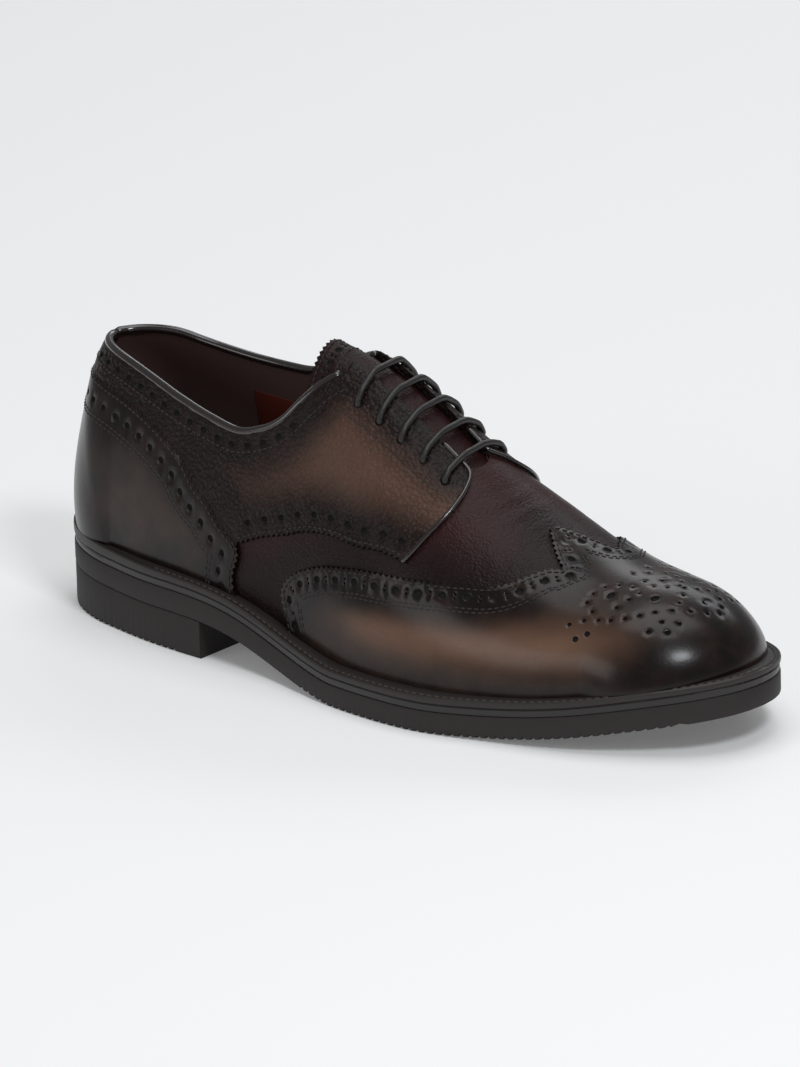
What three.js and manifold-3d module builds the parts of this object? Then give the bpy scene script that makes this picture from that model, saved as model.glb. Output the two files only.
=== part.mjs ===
// A right-foot leather derby shoe with a winged toe cap, on a stitched rubber sole with a stacked heel.
// Units are millimetres. +X runs from heel to toe, +Y to the inner (medial) side, +Z up from the floor.
// The drawing starts at the back of the heel seat. The group then moves the origin to the middle of the heel's tread.
import * as THREE from "three";
import { mergeVertices } from "three/addons/utils/BufferGeometryUtils.js";
import Module from "manifold-3d";

const wasm = await Module();
wasm.setup();

// Driving sizes
const LENGTH = 308; // sole, heel to toe
const BALL_WIDTH = 108; // sole, across the ball
const UPPER_DEPTH = 100; // from the top of the sole to the ridge of the instep
const HEEL_LIFT = 16.2; // underside of the outsole above the floor, at the heel
const TOE_SPRING = 14.4; // the same at the tip of the toe
const OUTSOLE_THICKNESS = 8.2;
const MIDSOLE_THICKNESS = 2.6;
const WELT_THICKNESS = 2.5;
const SEAT_RAISE = 1.9; // extra height of the heel seat at its back
const WELT_MARGIN = 7; // how far the welt shows past the upper
const WELT_STRIP = 17; // full width of the welt strip
const MIDSOLE_INSET = 0.5;
const OUTSOLE_INSET = 0.2;
const HEEL_LENGTH = 88; // from the back of the seat to the breast
const HEEL_TAPER = 0.3;
const UPPER_WALL = 2; // upper leather with its lining
const OVERLAY_THICKNESS = 1.2; // toe cap, quarters and counter, cut from one more layer of leather
const TONGUE_THICKNESS = 2;
const INSOLE_THICKNESS = 2.8;
const SEAM_GAP = 0.3; // between pieces that touch
const FOOT_DROP = 4; // the upper is drawn this far below the sole's top and trimmed there
const FACING_GAP = 14; // the open strip between the two rows of eyelets
const EYELET_SETBACK = 9.5; // from the edge of a facing to the middle of its eyelets
const EYELET_DIAMETER = 3.6;
const EYELET_PAIRS = 5;
const LACE_DIAMETER = 2.6;
const BINDING_DIAMETER = 3.2;

// Bottom of the shoe: a row for each section from heel to toe. along is a share of LENGTH, the widths are shares of
// BALL_WIDTH from the line of the centre, which itself bends inwards, and lift and spring are shares of those sizes.
const BOTTOM_COLUMNS = ["along", "centre", "lateral", "medial", "lift", "spring", "seat"];
const BOTTOM = [
  [0.0, 0.0, 0.276, 0.306, 1.0, 0.0, 1.0],
  [0.04, 0.0, 0.286, 0.311, 0.98, 0.0, 0.86],
  [0.1, 0.0, 0.308, 0.311, 0.95, 0.0, 0.65],
  [0.18, 0.0, 0.357, 0.306, 0.91, 0.0, 0.37],
  [0.285, 0.0, 0.39, 0.27, 0.87, 0.0, 0.0],
  [0.341, 0.0, 0.4, 0.257, 0.7, 0.0, 0.0],
  [0.4, 0.002, 0.421, 0.26, 0.39, 0.0, 0.0],
  [0.461, 0.008, 0.468, 0.292, 0.14, 0.0, 0.0],
  [0.513, 0.02, 0.513, 0.325, 0.0, 0.0, 0.0],
  [0.58, 0.03, 0.546, 0.366, 0.0, 0.0, 0.0],
  [0.65, 0.046, 0.56, 0.412, 0.0, 0.0, 0.0],
  [0.72, 0.055, 0.525, 0.432, 0.0, 0.06, 0.0],
  [0.812, 0.062, 0.464, 0.408, 0.0, 0.28, 0.0],
  [0.893, 0.062, 0.392, 0.37, 0.0, 0.6, 0.0],
  [0.951, 0.062, 0.368, 0.345, 0.0, 0.83, 0.0],
  [1.0, 0.062, 0.365, 0.34, 0.0, 1.0, 0.0],
];
const HEEL_ROUND = 0.12; // share of LENGTH over which the seat rounds off
const TOE_ROUND = 0.162; // the same for the toe
const TREAD_FLAT = [0.51, 0.665]; // shares of LENGTH where the forefoot lies flat on the floor

// Upper: a row for each section of the last. base and ridge are shares of LENGTH, height is a share of UPPER_DEPTH
// above the sole, and shift and bulge are shares of BALL_WIDTH. crown is how much of the half width the top keeps,
// rise is how high the side stands before it turns in, and margin is a share of WELT_MARGIN. At heel and toe the
// sections fan out about one base line.
const UPPER_COLUMNS = [
  "base", "ridge", "height", "shift",
  "lateralRise", "medialRise", "lateralBulge", "medialBulge",
  "lateralCrown", "medialCrown", "lateralMargin", "medialMargin",
];
const UPPER = [
  [0.12, 0.013, -0.04, 0.0, 0.5, 0.5, 0.018, 0.018, 0.6, 0.6, 0.56, 0.6],
  [0.12, 0.007, 0.14, 0.0, 0.5, 0.5, 0.028, 0.028, 0.56, 0.56, 0.56, 0.6],
  [0.12, 0.013, 0.33, 0.0, 0.5, 0.5, 0.037, 0.037, 0.52, 0.52, 0.56, 0.6],
  [0.12, 0.031, 0.562, 0.0, 0.52, 0.52, 0.042, 0.042, 0.46, 0.46, 0.56, 0.6],
  [0.12, 0.044, 0.681, 0.0, 0.55, 0.55, 0.042, 0.042, 0.42, 0.42, 0.56, 0.6],
  [0.12, 0.12, 0.84, 0.0, 0.6, 0.6, 0.037, 0.037, 0.38, 0.4, 0.56, 0.6],
  [0.201, 0.201, 0.875, 0.0, 0.58, 0.58, 0.028, 0.056, 0.4, 0.46, 0.76, 0.45],
  [0.299, 0.299, 0.92, 0.009, 0.52, 0.55, 0.005, 0.093, 0.42, 0.54, 0.69, 0.45],
  [0.396, 0.394, 0.975, 0.023, 0.49, 0.55, -0.009, 0.111, 0.49, 0.52, 0.8, 0.57],
  [0.487, 0.487, 0.92, 0.037, 0.48, 0.56, -0.009, 0.102, 0.5, 0.52, 0.97, 0.57],
  [0.578, 0.578, 0.745, 0.046, 0.49, 0.57, 0.0, 0.074, 0.52, 0.58, 1.0, 0.71],
  [0.666, 0.666, 0.575, 0.051, 0.52, 0.61, 0.009, 0.046, 0.55, 0.7, 1.05, 0.94],
  [0.753, 0.755, 0.425, 0.055, 0.55, 0.62, 0.014, 0.028, 0.56, 0.7, 0.9, 1.1],
  [0.838, 0.838, 0.335, 0.055, 0.6, 0.62, 0.018, 0.018, 0.58, 0.66, 0.9, 1.15],
  [0.838, 0.89, 0.31, 0.055, 0.58, 0.6, 0.018, 0.022, 0.58, 0.64, 0.9, 1.15],
  [0.838, 0.943, 0.235, 0.055, 0.56, 0.58, 0.018, 0.026, 0.56, 0.6, 0.9, 1.15],
  [0.838, 0.975, 0.121, 0.055, 0.55, 0.56, 0.018, 0.026, 0.53, 0.57, 0.9, 1.15],
  [0.838, 0.979, 0.0, 0.055, 0.55, 0.56, 0.014, 0.024, 0.53, 0.56, 0.9, 1.15],
];
const HEEL_FAN_ROWS = 6;
const TOE_FAN_ROWS = 5;

// Pattern lines in side view: [share of LENGTH, share of UPPER_DEPTH above the sole].
const COLLAR_LATERAL = [
  [0.042, 0.696], [0.11, 0.68], [0.166, 0.652], [0.218, 0.615], [0.266, 0.586], [0.31, 0.577],
  [0.346, 0.624], [0.37, 0.685], [0.39, 0.774], [0.412, 0.867], [0.432, 0.926],
];
const COLLAR_MEDIAL = [
  [0.042, 0.696], [0.104, 0.704], [0.14, 0.684], [0.179, 0.669], [0.221, 0.66], [0.263, 0.661],
  [0.295, 0.672], [0.328, 0.713], [0.357, 0.767], [0.386, 0.842], [0.412, 0.902], [0.432, 0.946],
];
const COUNTER_EDGE = [
  [-0.03, 0.585], [0.078, 0.57], [0.13, 0.547], [0.182, 0.503], [0.235, 0.42], [0.266, 0.33],
  [0.288, 0.29], [0.304, 0.245], [0.317, 0.22], [0.333, 0.188], [0.337, 0.16], [0.33, 0.065], [0.337, -0.1],
];
const QUARTER_FRONT = [
  [0.606, 0.9], [0.609, 0.665], [0.617, 0.625], [0.618, 0.585], [0.614, 0.545],
  [0.606, 0.5], [0.597, 0.45], [0.588, 0.407],
];
const QUARTER_FOOT = [
  [0.556, 0.423], [0.522, 0.421], [0.481, 0.42], [0.438, 0.385], [0.403, 0.325], [0.372, 0.272],
  [0.356, 0.24], [0.343, 0.19],
];
const WING_EDGE = [
  [0.419, -0.1], [0.41, 0.06], [0.404, 0.12], [0.412, 0.18], [0.432, 0.24], [0.468, 0.305], [0.511, 0.345],
  [0.594, 0.36], [0.666, 0.365], [0.698, 0.365], [0.728, 0.365], [0.75, 0.365], [0.762, 0.38], [0.766, 0.9],
];
// The point of the wing in top view: [share of LENGTH, share of BALL_WIDTH to the inner side].
const WING_POINT = [
  [0.8, -0.14], [0.762, -0.116], [0.744, -0.088], [0.724, -0.045], [0.706, 0.012],
  [0.728, 0.07], [0.752, 0.115], [0.776, 0.15], [0.8, 0.18],
];
// Half the tongue in top view: [share of LENGTH, share of BALL_WIDTH from the middle of the facings].
const TONGUE_HALF = [
  [0.381, 0.0], [0.383, 0.1], [0.39, 0.19], [0.41, 0.215], [0.45, 0.2], [0.52, 0.16], [0.6, 0.13], [0.63, 0.1],
];
const FACING_SHIFT = 0.014; // middle of the facings, a share of BALL_WIDTH to the inner side
const THROAT_END = 0.607; // share of LENGTH where the strip between the facings ends
const EYELETS_SPAN = [0.466, 0.594]; // shares of LENGTH of the first and last eyelet
const COLLAR_STEPS = 16; // straight stretches of each side of the collar
const COLLAR_BUNCH = 0.35; // how much shorter they are at the back
const CUTTER_REACH = LENGTH / 5; // cutters reach this far past the shoe
const HALVINGS = 30; // steps of a search along or up the last

// Natural cubic spline through values at rising stations.
function spline(stations, values) {
  const last = stations.length - 1;
  const bend = new Array(last + 1).fill(0);
  const lower = new Array(last + 1).fill(0);
  for (let i = 1; i < last; i++) {
    const before = stations[i] - stations[i - 1];
    const after = stations[i + 1] - stations[i];
    const turn = (values[i + 1] - values[i]) / after - (values[i] - values[i - 1]) / before;
    const pivot = 2 * (before + after) - before * lower[i - 1];
    lower[i] = after / pivot;
    bend[i] = (6 * turn - before * bend[i - 1]) / pivot;
  }
  for (let i = last - 1; i > 0; i--) bend[i] -= lower[i] * bend[i + 1];
  return (at) => {
    let i = 0;
    while (i < last - 1 && at > stations[i + 1]) i++;
    const span = stations[i + 1] - stations[i];
    const a = (stations[i + 1] - at) / span;
    const b = 1 - a;
    const curve = ((a ** 3 - a) * bend[i] + (b ** 3 - b) * bend[i + 1]) * span * span / 6;
    return a * values[i] + b * values[i + 1] + curve;
  };
}

function splineColumns(columns, rows, stations) {
  const curves = columns.map((_, column) => spline(stations, rows.map((row) => row[column])));
  return (at) => Object.fromEntries(columns.map((name, column) => [name, curves[column](at)]));
}

// Sole line: centre, half widths and heights at a place along the shoe.
const bottomAt = splineColumns(BOTTOM_COLUMNS, BOTTOM, BOTTOM.map((row) => row[0]));

function roundEnd(distance, reach) {
  const left = Math.max(0, 1 - distance / reach);
  return Math.sqrt(Math.max(0, 1 - left * left));
}

function underside(x) {
  const share = x / LENGTH;
  const row = bottomAt(share);
  if (share > TREAD_FLAT[0] && share < TREAD_FLAT[1]) return 0;
  return Math.max(0, row.lift * HEEL_LIFT + row.spring * TOE_SPRING);
}

const outsoleTop = (x) => underside(x) + OUTSOLE_THICKNESS;
const midsoleTop = (x) => outsoleTop(x) + SEAM_GAP + MIDSOLE_THICKNESS;
const seatRaise = (x) => SEAT_RAISE * Math.max(0, bottomAt(x / LENGTH).seat);
const soleTop = (x) => midsoleTop(x) + SEAM_GAP + WELT_THICKNESS + seatRaise(x);
const upperFoot = (x) => soleTop(x) + SEAM_GAP;

// Lateral and medial edge of the sole at x, moved in by inset.
function soleEdges(x, inset) {
  const row = bottomAt(x / LENGTH);
  const heelCap = roundEnd(x - inset, HEEL_ROUND * LENGTH - inset);
  const cap = heelCap * roundEnd(LENGTH - inset - x, TOE_ROUND * LENGTH - inset);
  return {
    lateral: row.centre * BALL_WIDTH - (row.lateral * BALL_WIDTH - inset) * cap,
    medial: row.centre * BALL_WIDTH + (row.medial * BALL_WIDTH - inset) * cap,
  };
}

// Places along the sole, close together where heel and toe round off.
function soleStations(from, to) {
  const heelReach = HEEL_ROUND * LENGTH - from;
  const toeReach = TOE_ROUND * LENGTH - (LENGTH - to);
  const END_STEPS = 8;
  const BODY_STEPS = 18;
  const QUARTER_TURN = Math.PI / 2;
  const bodyStart = from + heelReach;
  const bodyEnd = to - toeReach;
  const places = [];
  for (let i = 0; i < END_STEPS; i++) places.push(from + heelReach * (1 - Math.cos((i / END_STEPS) * QUARTER_TURN)));
  for (let i = 0; i < BODY_STEPS; i++) places.push(bodyStart + (bodyEnd - bodyStart) * (i / BODY_STEPS));
  for (let i = 0; i <= END_STEPS; i++) places.push(bodyEnd + toeReach * Math.sin((i / END_STEPS) * QUARTER_TURN));
  return places;
}

// Upper: the last's surface, moved in by depth. along runs 0 to 1 from heel to toe over the ridge, and around runs
// from -1 at the lateral edge over 0 at the ridge to 1 at the medial edge.
const ridgePoint = (row) => [row[1] * LENGTH, row[2] * UPPER_DEPTH];
const upperStations = [0];
for (let i = 1; i < UPPER.length; i++) {
  const [x0, z0] = ridgePoint(UPPER[i - 1]);
  const [x1, z1] = ridgePoint(UPPER[i]);
  upperStations.push(upperStations[i - 1] + Math.hypot(x1 - x0, z1 - z0));
}
const upperRow = splineColumns(UPPER_COLUMNS, UPPER, upperStations);
const RIDGE_LENGTH = upperStations[upperStations.length - 1];
const HEEL_FAN_END = upperStations[HEEL_FAN_ROWS - 1];
const TOE_FAN_START = upperStations[UPPER.length - TOE_FAN_ROWS];
// These are alike over a fan, so that its sections share a base.
const FAN_COLUMNS = ["base", "shift", "lateralMargin", "medialMargin"];

function upperSection(along, depth) {
  const station = along * RIDGE_LENGTH;
  const row = upperRow(station);
  let fan = null;
  if (station <= HEEL_FAN_END) fan = UPPER[0];
  if (station >= TOE_FAN_START) fan = UPPER[UPPER.length - 1];
  if (fan) for (const name of FAN_COLUMNS) row[name] = fan[UPPER_COLUMNS.indexOf(name)];
  const baseX = row.base * LENGTH;
  const baseZ = upperFoot(baseX) - FOOT_DROP;
  const ridgeX = row.ridge * LENGTH;
  const ridgeZ = upperFoot(baseX) + row.height * UPPER_DEPTH;
  const reach = Math.hypot(ridgeX - baseX, ridgeZ - baseZ);
  const kept = (reach - depth) / reach;
  const edges = soleEdges(baseX, 0);
  return {
    baseX, baseZ,
    ridgeX: baseX + (ridgeX - baseX) * kept,
    ridgeZ: baseZ + (ridgeZ - baseZ) * kept,
    ridgeY: row.shift * BALL_WIDTH,
    lateral: {
      half: -edges.lateral + row.shift * BALL_WIDTH - row.lateralMargin * WELT_MARGIN - depth,
      rise: row.lateralRise, bulge: row.lateralBulge * BALL_WIDTH, crown: row.lateralCrown,
    },
    medial: {
      half: edges.medial - row.shift * BALL_WIDTH - row.medialMargin * WELT_MARGIN - depth,
      rise: row.medialRise, bulge: row.medialBulge * BALL_WIDTH, crown: row.medialCrown,
    },
  };
}

// Share of the height, and distance from the ridge line, at a place up one side of a section, from 0 at the foot to 1.
function sideCurve(side, up) {
  const down = 1 - up;
  return {
    high: 3 * down * down * up * side.rise + 3 * down * up * up + up ** 3,
    out: side.half * (down ** 3 + 3 * down * up * up * side.crown) + 3 * down * down * up * (side.half + side.bulge),
  };
}

function upperPoint(along, around, depth) {
  const section = upperSection(along, depth);
  const side = around < 0 ? section.lateral : section.medial;
  const { high, out } = sideCurve(side, 1 - Math.abs(around));
  return new THREE.Vector3(
    section.baseX + (section.ridgeX - section.baseX) * high,
    section.ridgeY + Math.sign(around) * out,
    section.baseZ + (section.ridgeZ - section.baseZ) * high,
  );
}

// The point of one side of the upper that shows at x, z in side view.
function upperAt(x, z, sideName, depth) {
  let low = 0;
  let high = 1;
  for (let i = 0; i < HALVINGS; i++) {
    const middle = (low + high) / 2;
    const s = upperSection(middle, depth);
    const ahead = (s.ridgeZ - s.baseZ) * (x - s.baseX) - (s.ridgeX - s.baseX) * (z - s.baseZ);
    if (ahead > 0) low = middle;
    else high = middle;
  }
  const section = upperSection(low, depth);
  const reach = Math.hypot(section.ridgeX - section.baseX, section.ridgeZ - section.baseZ);
  const share = Math.min(1, Math.hypot(x - section.baseX, z - section.baseZ) / reach);
  let foot = 0;
  let top = 1;
  for (let i = 0; i < HALVINGS; i++) {
    const middle = (foot + top) / 2;
    if (sideCurve(section[sideName], middle).high < share) foot = middle;
    else top = middle;
  }
  const { out } = sideCurve(section[sideName], foot);
  return new THREE.Vector3(x, section.ridgeY + (sideName === "lateral" ? -out : out), z);
}

// Height of the upper over a place in top view.
function upperHeight(x, y, depth) {
  const section = upperSectionAt(x, depth);
  const sideName = y < section.ridgeY ? "lateral" : "medial";
  const out = Math.abs(y - section.ridgeY);
  let foot = 0;
  let top = 1;
  for (let i = 0; i < HALVINGS; i++) {
    const middle = (foot + top) / 2;
    if (sideCurve(section[sideName], middle).out > out) foot = middle;
    else top = middle;
  }
  return section.baseZ + (section.ridgeZ - section.baseZ) * sideCurve(section[sideName], foot).high;
}

function upperSectionAt(x, depth) {
  let low = 0;
  let high = 1;
  for (let i = 0; i < HALVINGS; i++) {
    const middle = (low + high) / 2;
    if (upperSection(middle, depth).ridgeX < x) low = middle;
    else high = middle;
  }
  return upperSection(low, depth);
}

// Solids
function geometryOf(points, triangles) {
  const geometry = new THREE.BufferGeometry();
  geometry.setAttribute("position", new THREE.Float32BufferAttribute(points.flatMap((p) => [p.x, p.y, p.z]), 3));
  geometry.setIndex(triangles.flat());
  return geometry;
}

function solidOf(geometry) {
  const bare = geometry.clone();
  bare.deleteAttribute("normal");
  bare.deleteAttribute("uv");
  const merged = mergeVertices(bare, 1e-4);
  const corners = merged.index.array;
  const kept = [];
  for (let i = 0; i < corners.length; i += 3) {
    const [a, b, c] = [corners[i], corners[i + 1], corners[i + 2]];
    if (a !== b && b !== c && c !== a) kept.push(a, b, c);
  }
  return new wasm.Manifold(new wasm.Mesh({
    numProp: 3,
    vertProperties: new Float32Array(merged.attributes.position.array),
    triVerts: new Uint32Array(kept),
  }));
}

function meshOf(name, solid, material) {
  const made = solid.getMesh();
  const geometry = new THREE.BufferGeometry();
  geometry.setAttribute("position", new THREE.BufferAttribute(new Float32Array(made.vertProperties), 3));
  geometry.setIndex(new THREE.BufferAttribute(new Uint32Array(made.triVerts), 1));
  const flat = geometry.toNonIndexed();
  flat.computeVertexNormals();
  const mesh = new THREE.Mesh(flat, material);
  mesh.name = name;
  return mesh;
}

// A closed body of the last, moved in by depth, with a straight skirt that reaches below the sole's top.
const BODY_STEPS_ALONG = 34;
const BODY_STEPS_AROUND = 16;
const SKIRT = 14;
function lastBody(depth) {
  const heelRows = HEEL_FAN_END / RIDGE_LENGTH;
  const toeRows = TOE_FAN_START / RIDGE_LENGTH;
  const places = [];
  const HEEL_STEPS = 8;
  const TOE_STEPS = 7;
  const MIDDLE_STEPS = BODY_STEPS_ALONG - HEEL_STEPS - TOE_STEPS;
  for (let i = 0; i < HEEL_STEPS; i++) places.push(heelRows * (i / HEEL_STEPS));
  for (let i = 0; i < MIDDLE_STEPS; i++) places.push(heelRows + (toeRows - heelRows) * (i / MIDDLE_STEPS));
  for (let i = 0; i <= TOE_STEPS; i++) places.push(toeRows + (1 - toeRows) * (i / TOE_STEPS));
  const points = [];
  const grid = places.map((along) => {
    const row = [];
    for (let j = 0; j <= BODY_STEPS_AROUND; j++) {
      row.push(points.length);
      points.push(upperPoint(along, (2 * j) / BODY_STEPS_AROUND - 1, depth));
    }
    return row;
  });
  const triangles = [];
  const quad = (a, b, c, d) => triangles.push([a, b, c], [a, c, d]);
  for (let i = 0; i < places.length - 1; i++)
    for (let j = 0; j < BODY_STEPS_AROUND; j++) quad(grid[i][j], grid[i + 1][j], grid[i + 1][j + 1], grid[i][j + 1]);
  const last = places.length - 1;
  const rim = [
    ...grid[0].slice().reverse(),
    ...grid.slice(1).map((row) => row[0]),
    ...grid[last].slice(1),
    ...grid.slice(1, last).reverse().map((row) => row[BODY_STEPS_AROUND]),
  ];
  const loop = rim.filter((at, i) => points[at].distanceTo(points[rim[(i + 1) % rim.length]]) > 1e-3);
  const hem = loop.map((at) => {
    points.push(points[at].clone().setZ(points[at].z - SKIRT));
    return points.length - 1;
  });
  points.push(new THREE.Vector3(LENGTH / 2, 0, -SKIRT));
  const middle = points.length - 1;
  loop.forEach((at, i) => {
    const next = (i + 1) % loop.length;
    quad(at, hem[i], hem[next], loop[next]);
    triangles.push([hem[i], middle, hem[next]]);
  });
  return solidOf(geometryOf(points, triangles));
}

// A layer of the sole between two heights that depend on x.
function soleLayer(low, high, inset, to = LENGTH - inset) {
  const stations = soleStations(inset, LENGTH - inset).filter((x) => x < to - SEAM_GAP);
  stations.push(to);
  const CORNERS = 4;
  const points = [];
  const rows = stations.map((x) => {
    const { lateral, medial } = soleEdges(x, inset);
    const first = points.length;
    for (const [y, z] of [[lateral, low(x)], [medial, low(x)], [medial, high(x)], [lateral, high(x)]])
      points.push(new THREE.Vector3(x, y, z));
    return first;
  });
  const triangles = [];
  const quad = (a, b, c, d) => triangles.push([a, b, c], [a, c, d]);
  for (let i = 0; i < rows.length - 1; i++)
    for (let k = 0; k < CORNERS; k++) {
      const next = (k + 1) % CORNERS;
      quad(rows[i] + k, rows[i] + next, rows[i + 1] + next, rows[i + 1] + k);
    }
  quad(rows[0], rows[0] + 3, rows[0] + 2, rows[0] + 1);
  const end = rows[rows.length - 1];
  quad(end, end + 1, end + 2, end + 3);
  return solidOf(geometryOf(points, triangles));
}

// A prism through the shoe from an outline in side view, over a range of y.
function sidePrism(outline, fromY, toY) {
  const shape = new THREE.Shape(outline.map(([x, z]) => new THREE.Vector2(x, z)));
  const geometry = new THREE.ExtrudeGeometry(shape, { depth: toY - fromY, bevelEnabled: false, steps: 1 });
  geometry.rotateX(Math.PI / 2);
  geometry.translate(0, toY, 0);
  return solidOf(geometry);
}

// The same from an outline in top view, over a range of z.
function topPrism(outline, fromZ, toZ) {
  const shape = new THREE.Shape(outline.map(([x, y]) => new THREE.Vector2(x, y)));
  const geometry = new THREE.ExtrudeGeometry(shape, { depth: toZ - fromZ, bevelEnabled: false, steps: 1 });
  geometry.translate(0, 0, fromZ);
  return solidOf(geometry);
}

const WIDE = BALL_WIDTH;
const HIGH = UPPER_DEPTH + CUTTER_REACH + soleTop(0);
const TOP_CUT = UPPER_DEPTH / 4; // cuts from above start this high over the sole, clear of the foot
const EYELET_CUT = UPPER_DEPTH / 10; // half the length of an eyelet's cutter
const patternPoint = ([along, up]) => [along * LENGTH, soleTop(Math.max(0, along * LENGTH)) + up * UPPER_DEPTH];
const facingMiddle = FACING_SHIFT * BALL_WIDTH;

// Everything above the foot line of the upper.
function aboveSole(height) {
  const stations = soleStations(0, LENGTH);
  const outline = stations.map((x) => [x, upperFoot(x) + height]);
  outline.unshift([-CUTTER_REACH, upperFoot(0) + height]);
  outline.push([LENGTH + CUTTER_REACH, upperFoot(LENGTH) + height]);
  outline.push([LENGTH + CUTTER_REACH, HIGH], [-CUTTER_REACH, HIGH]);
  return sidePrism(outline, -WIDE, WIDE);
}

// The collar line of one side, from the back of the heel to the top of the facing.
function collarLine(rows, steps) {
  const height = spline(rows.map((row) => row[0]), rows.map((row) => row[1]));
  const [first, last] = [rows[0][0], rows[rows.length - 1][0]];
  const line = [];
  for (let i = 0; i <= steps; i++) {
    const share = i / steps;
    const along = first + (last - first) * share * (COLLAR_BUNCH + (1 - COLLAR_BUNCH) * share);
    line.push(patternPoint([along, height(along)]));
  }
  return line;
}

// The space over the collar, one outline for each side.
function collarCutter() {
  const halves = [[COLLAR_LATERAL, -WIDE, 0], [COLLAR_MEDIAL, 0, WIDE]].map(([edge, fromY, toY]) => {
    const outline = collarLine(edge, COLLAR_STEPS);
    const back = outline[0];
    const front = outline[outline.length - 1];
    return sidePrism([[-CUTTER_REACH, back[1]], ...outline, [front[0], HIGH], [-CUTTER_REACH, HIGH]], fromY, toY);
  });
  return halves[0].add(halves[1]);
}

// The strip between the facings, round at its lower end.
function throatCutter() {
  const half = FACING_GAP / 2;
  const end = THROAT_END * LENGTH;
  const from = COLLAR_LATERAL[COLLAR_LATERAL.length - 1][0] * LENGTH - 2 * FACING_GAP;
  const outline = [[from, facingMiddle + half], [from, facingMiddle - half]];
  const ROUND_STEPS = 6;
  for (let i = 0; i <= ROUND_STEPS; i++) {
    const angle = -Math.PI / 2 + (i / ROUND_STEPS) * Math.PI;
    outline.push([end - half + half * Math.cos(angle), facingMiddle + half * Math.sin(angle)]);
  }
  return topPrism(outline, soleTop(end) + TOP_CUT, HIGH);
}

// Middles of the eyelets in top view.
const eyelets = [];
for (let i = 0; i < EYELET_PAIRS; i++) {
  const share = i / (EYELET_PAIRS - 1);
  const x = (EYELETS_SPAN[0] + (EYELETS_SPAN[1] - EYELETS_SPAN[0]) * share) * LENGTH;
  const out = FACING_GAP / 2 + EYELET_SETBACK;
  eyelets.push({ x, lateral: facingMiddle - out, medial: facingMiddle + out });
}

function eyeletCutter() {
  const SIDES = 8;
  let cutter;
  for (const { x, lateral, medial } of eyelets)
    for (const y of [lateral, medial]) {
      const outline = [];
      for (let k = 0; k < SIDES; k++) {
        const angle = ((k + 0.5) / SIDES) * 2 * Math.PI;
        outline.push([x + (EYELET_DIAMETER / 2) * Math.cos(angle), y + (EYELET_DIAMETER / 2) * Math.sin(angle)]);
      }
      const high = upperHeight(x, y, 0);
      const hole = topPrism(outline, high - 2 * EYELET_CUT, high + EYELET_CUT);
      cutter = cutter ? cutter.add(hole) : hole;
    }
  return cutter;
}

const overlayDepth = OVERLAY_THICKNESS;
const wallDepth = overlayDepth + SEAM_GAP;
const insideDepth = wallDepth + UPPER_WALL;
const tongueDepth = insideDepth + SEAM_GAP;
const above = aboveSole(0);
const openings = collarCutter().add(throatCutter());
const holes = eyeletCutter();
const outerBody = lastBody(0);
const wallBody = lastBody(wallDepth);
const insideBody = lastBody(insideDepth);
const tongueBody = lastBody(tongueDepth);

function makeUpper() {
  return wallBody.subtract(insideBody).intersect(above).subtract(openings).subtract(holes);
}

const overlay = outerBody.subtract(lastBody(overlayDepth)).intersect(above).subtract(openings);

// Counter outline in side view, grown or shrunk along x by move.
function counterOutline(move) {
  const edge = COUNTER_EDGE.map(patternPoint).map(([x, z]) => [x + move, z + move]);
  return [...edge, [-CUTTER_REACH, -SKIRT], [-CUTTER_REACH, edge[0][1]]];
}

function makeCounter() {
  return overlay.intersect(sidePrism(counterOutline(0), -WIDE, WIDE));
}

function quarterRegion() {
  const front = QUARTER_FRONT.map(patternPoint);
  const foot = QUARTER_FOOT.map(patternPoint);
  const farBack = [-CUTTER_REACH, foot[foot.length - 1][1]];
  return [...front, ...foot, farBack, [-CUTTER_REACH, HIGH], [front[0][0], HIGH]];
}

function makeQuarter(fromY, toY) {
  const region = sidePrism(quarterRegion(), fromY, toY);
  return overlay.intersect(region).subtract(sidePrism(counterOutline(SEAM_GAP), -WIDE, WIDE)).subtract(holes);
}

function makeWingCap() {
  const edge = WING_EDGE.map(patternPoint);
  const far = LENGTH + CUTTER_REACH;
  const side = sidePrism([...edge, [far, edge[edge.length - 1][1]], [far, -SKIRT], [edge[0][0], -SKIRT]], -WIDE, WIDE);
  const point = WING_POINT.map(([along, out]) => [along * LENGTH, out * BALL_WIDTH]);
  const top = topPrism(point, soleTop(LENGTH * THROAT_END) + TOP_CUT, HIGH);
  return overlay.intersect(side.add(top));
}

function makeTongue() {
  const half = TONGUE_HALF.map(([along, out]) => [along * LENGTH, out * BALL_WIDTH]);
  const medial = half.map(([x, out]) => [x, facingMiddle + out]);
  const lateral = half.slice(1).reverse().map(([x, out]) => [x, facingMiddle - out]);
  const region = topPrism([...medial, ...lateral], soleTop(LENGTH * THROAT_END) + TOP_CUT, HIGH);
  return tongueBody.subtract(lastBody(tongueDepth + TONGUE_THICKNESS)).intersect(region);
}

function makeInsole() {
  return lastBody(insideDepth + 2 * SEAM_GAP).intersect(above).subtract(aboveSole(INSOLE_THICKNESS));
}

const TUBE_SIDES = 6;
const BINDING_STEPS = 42;
const BAR_STEPS = 10;
const BAR_RISE = 0.35; // how far a bar bows up, as a share of its rest over the leather

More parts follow.
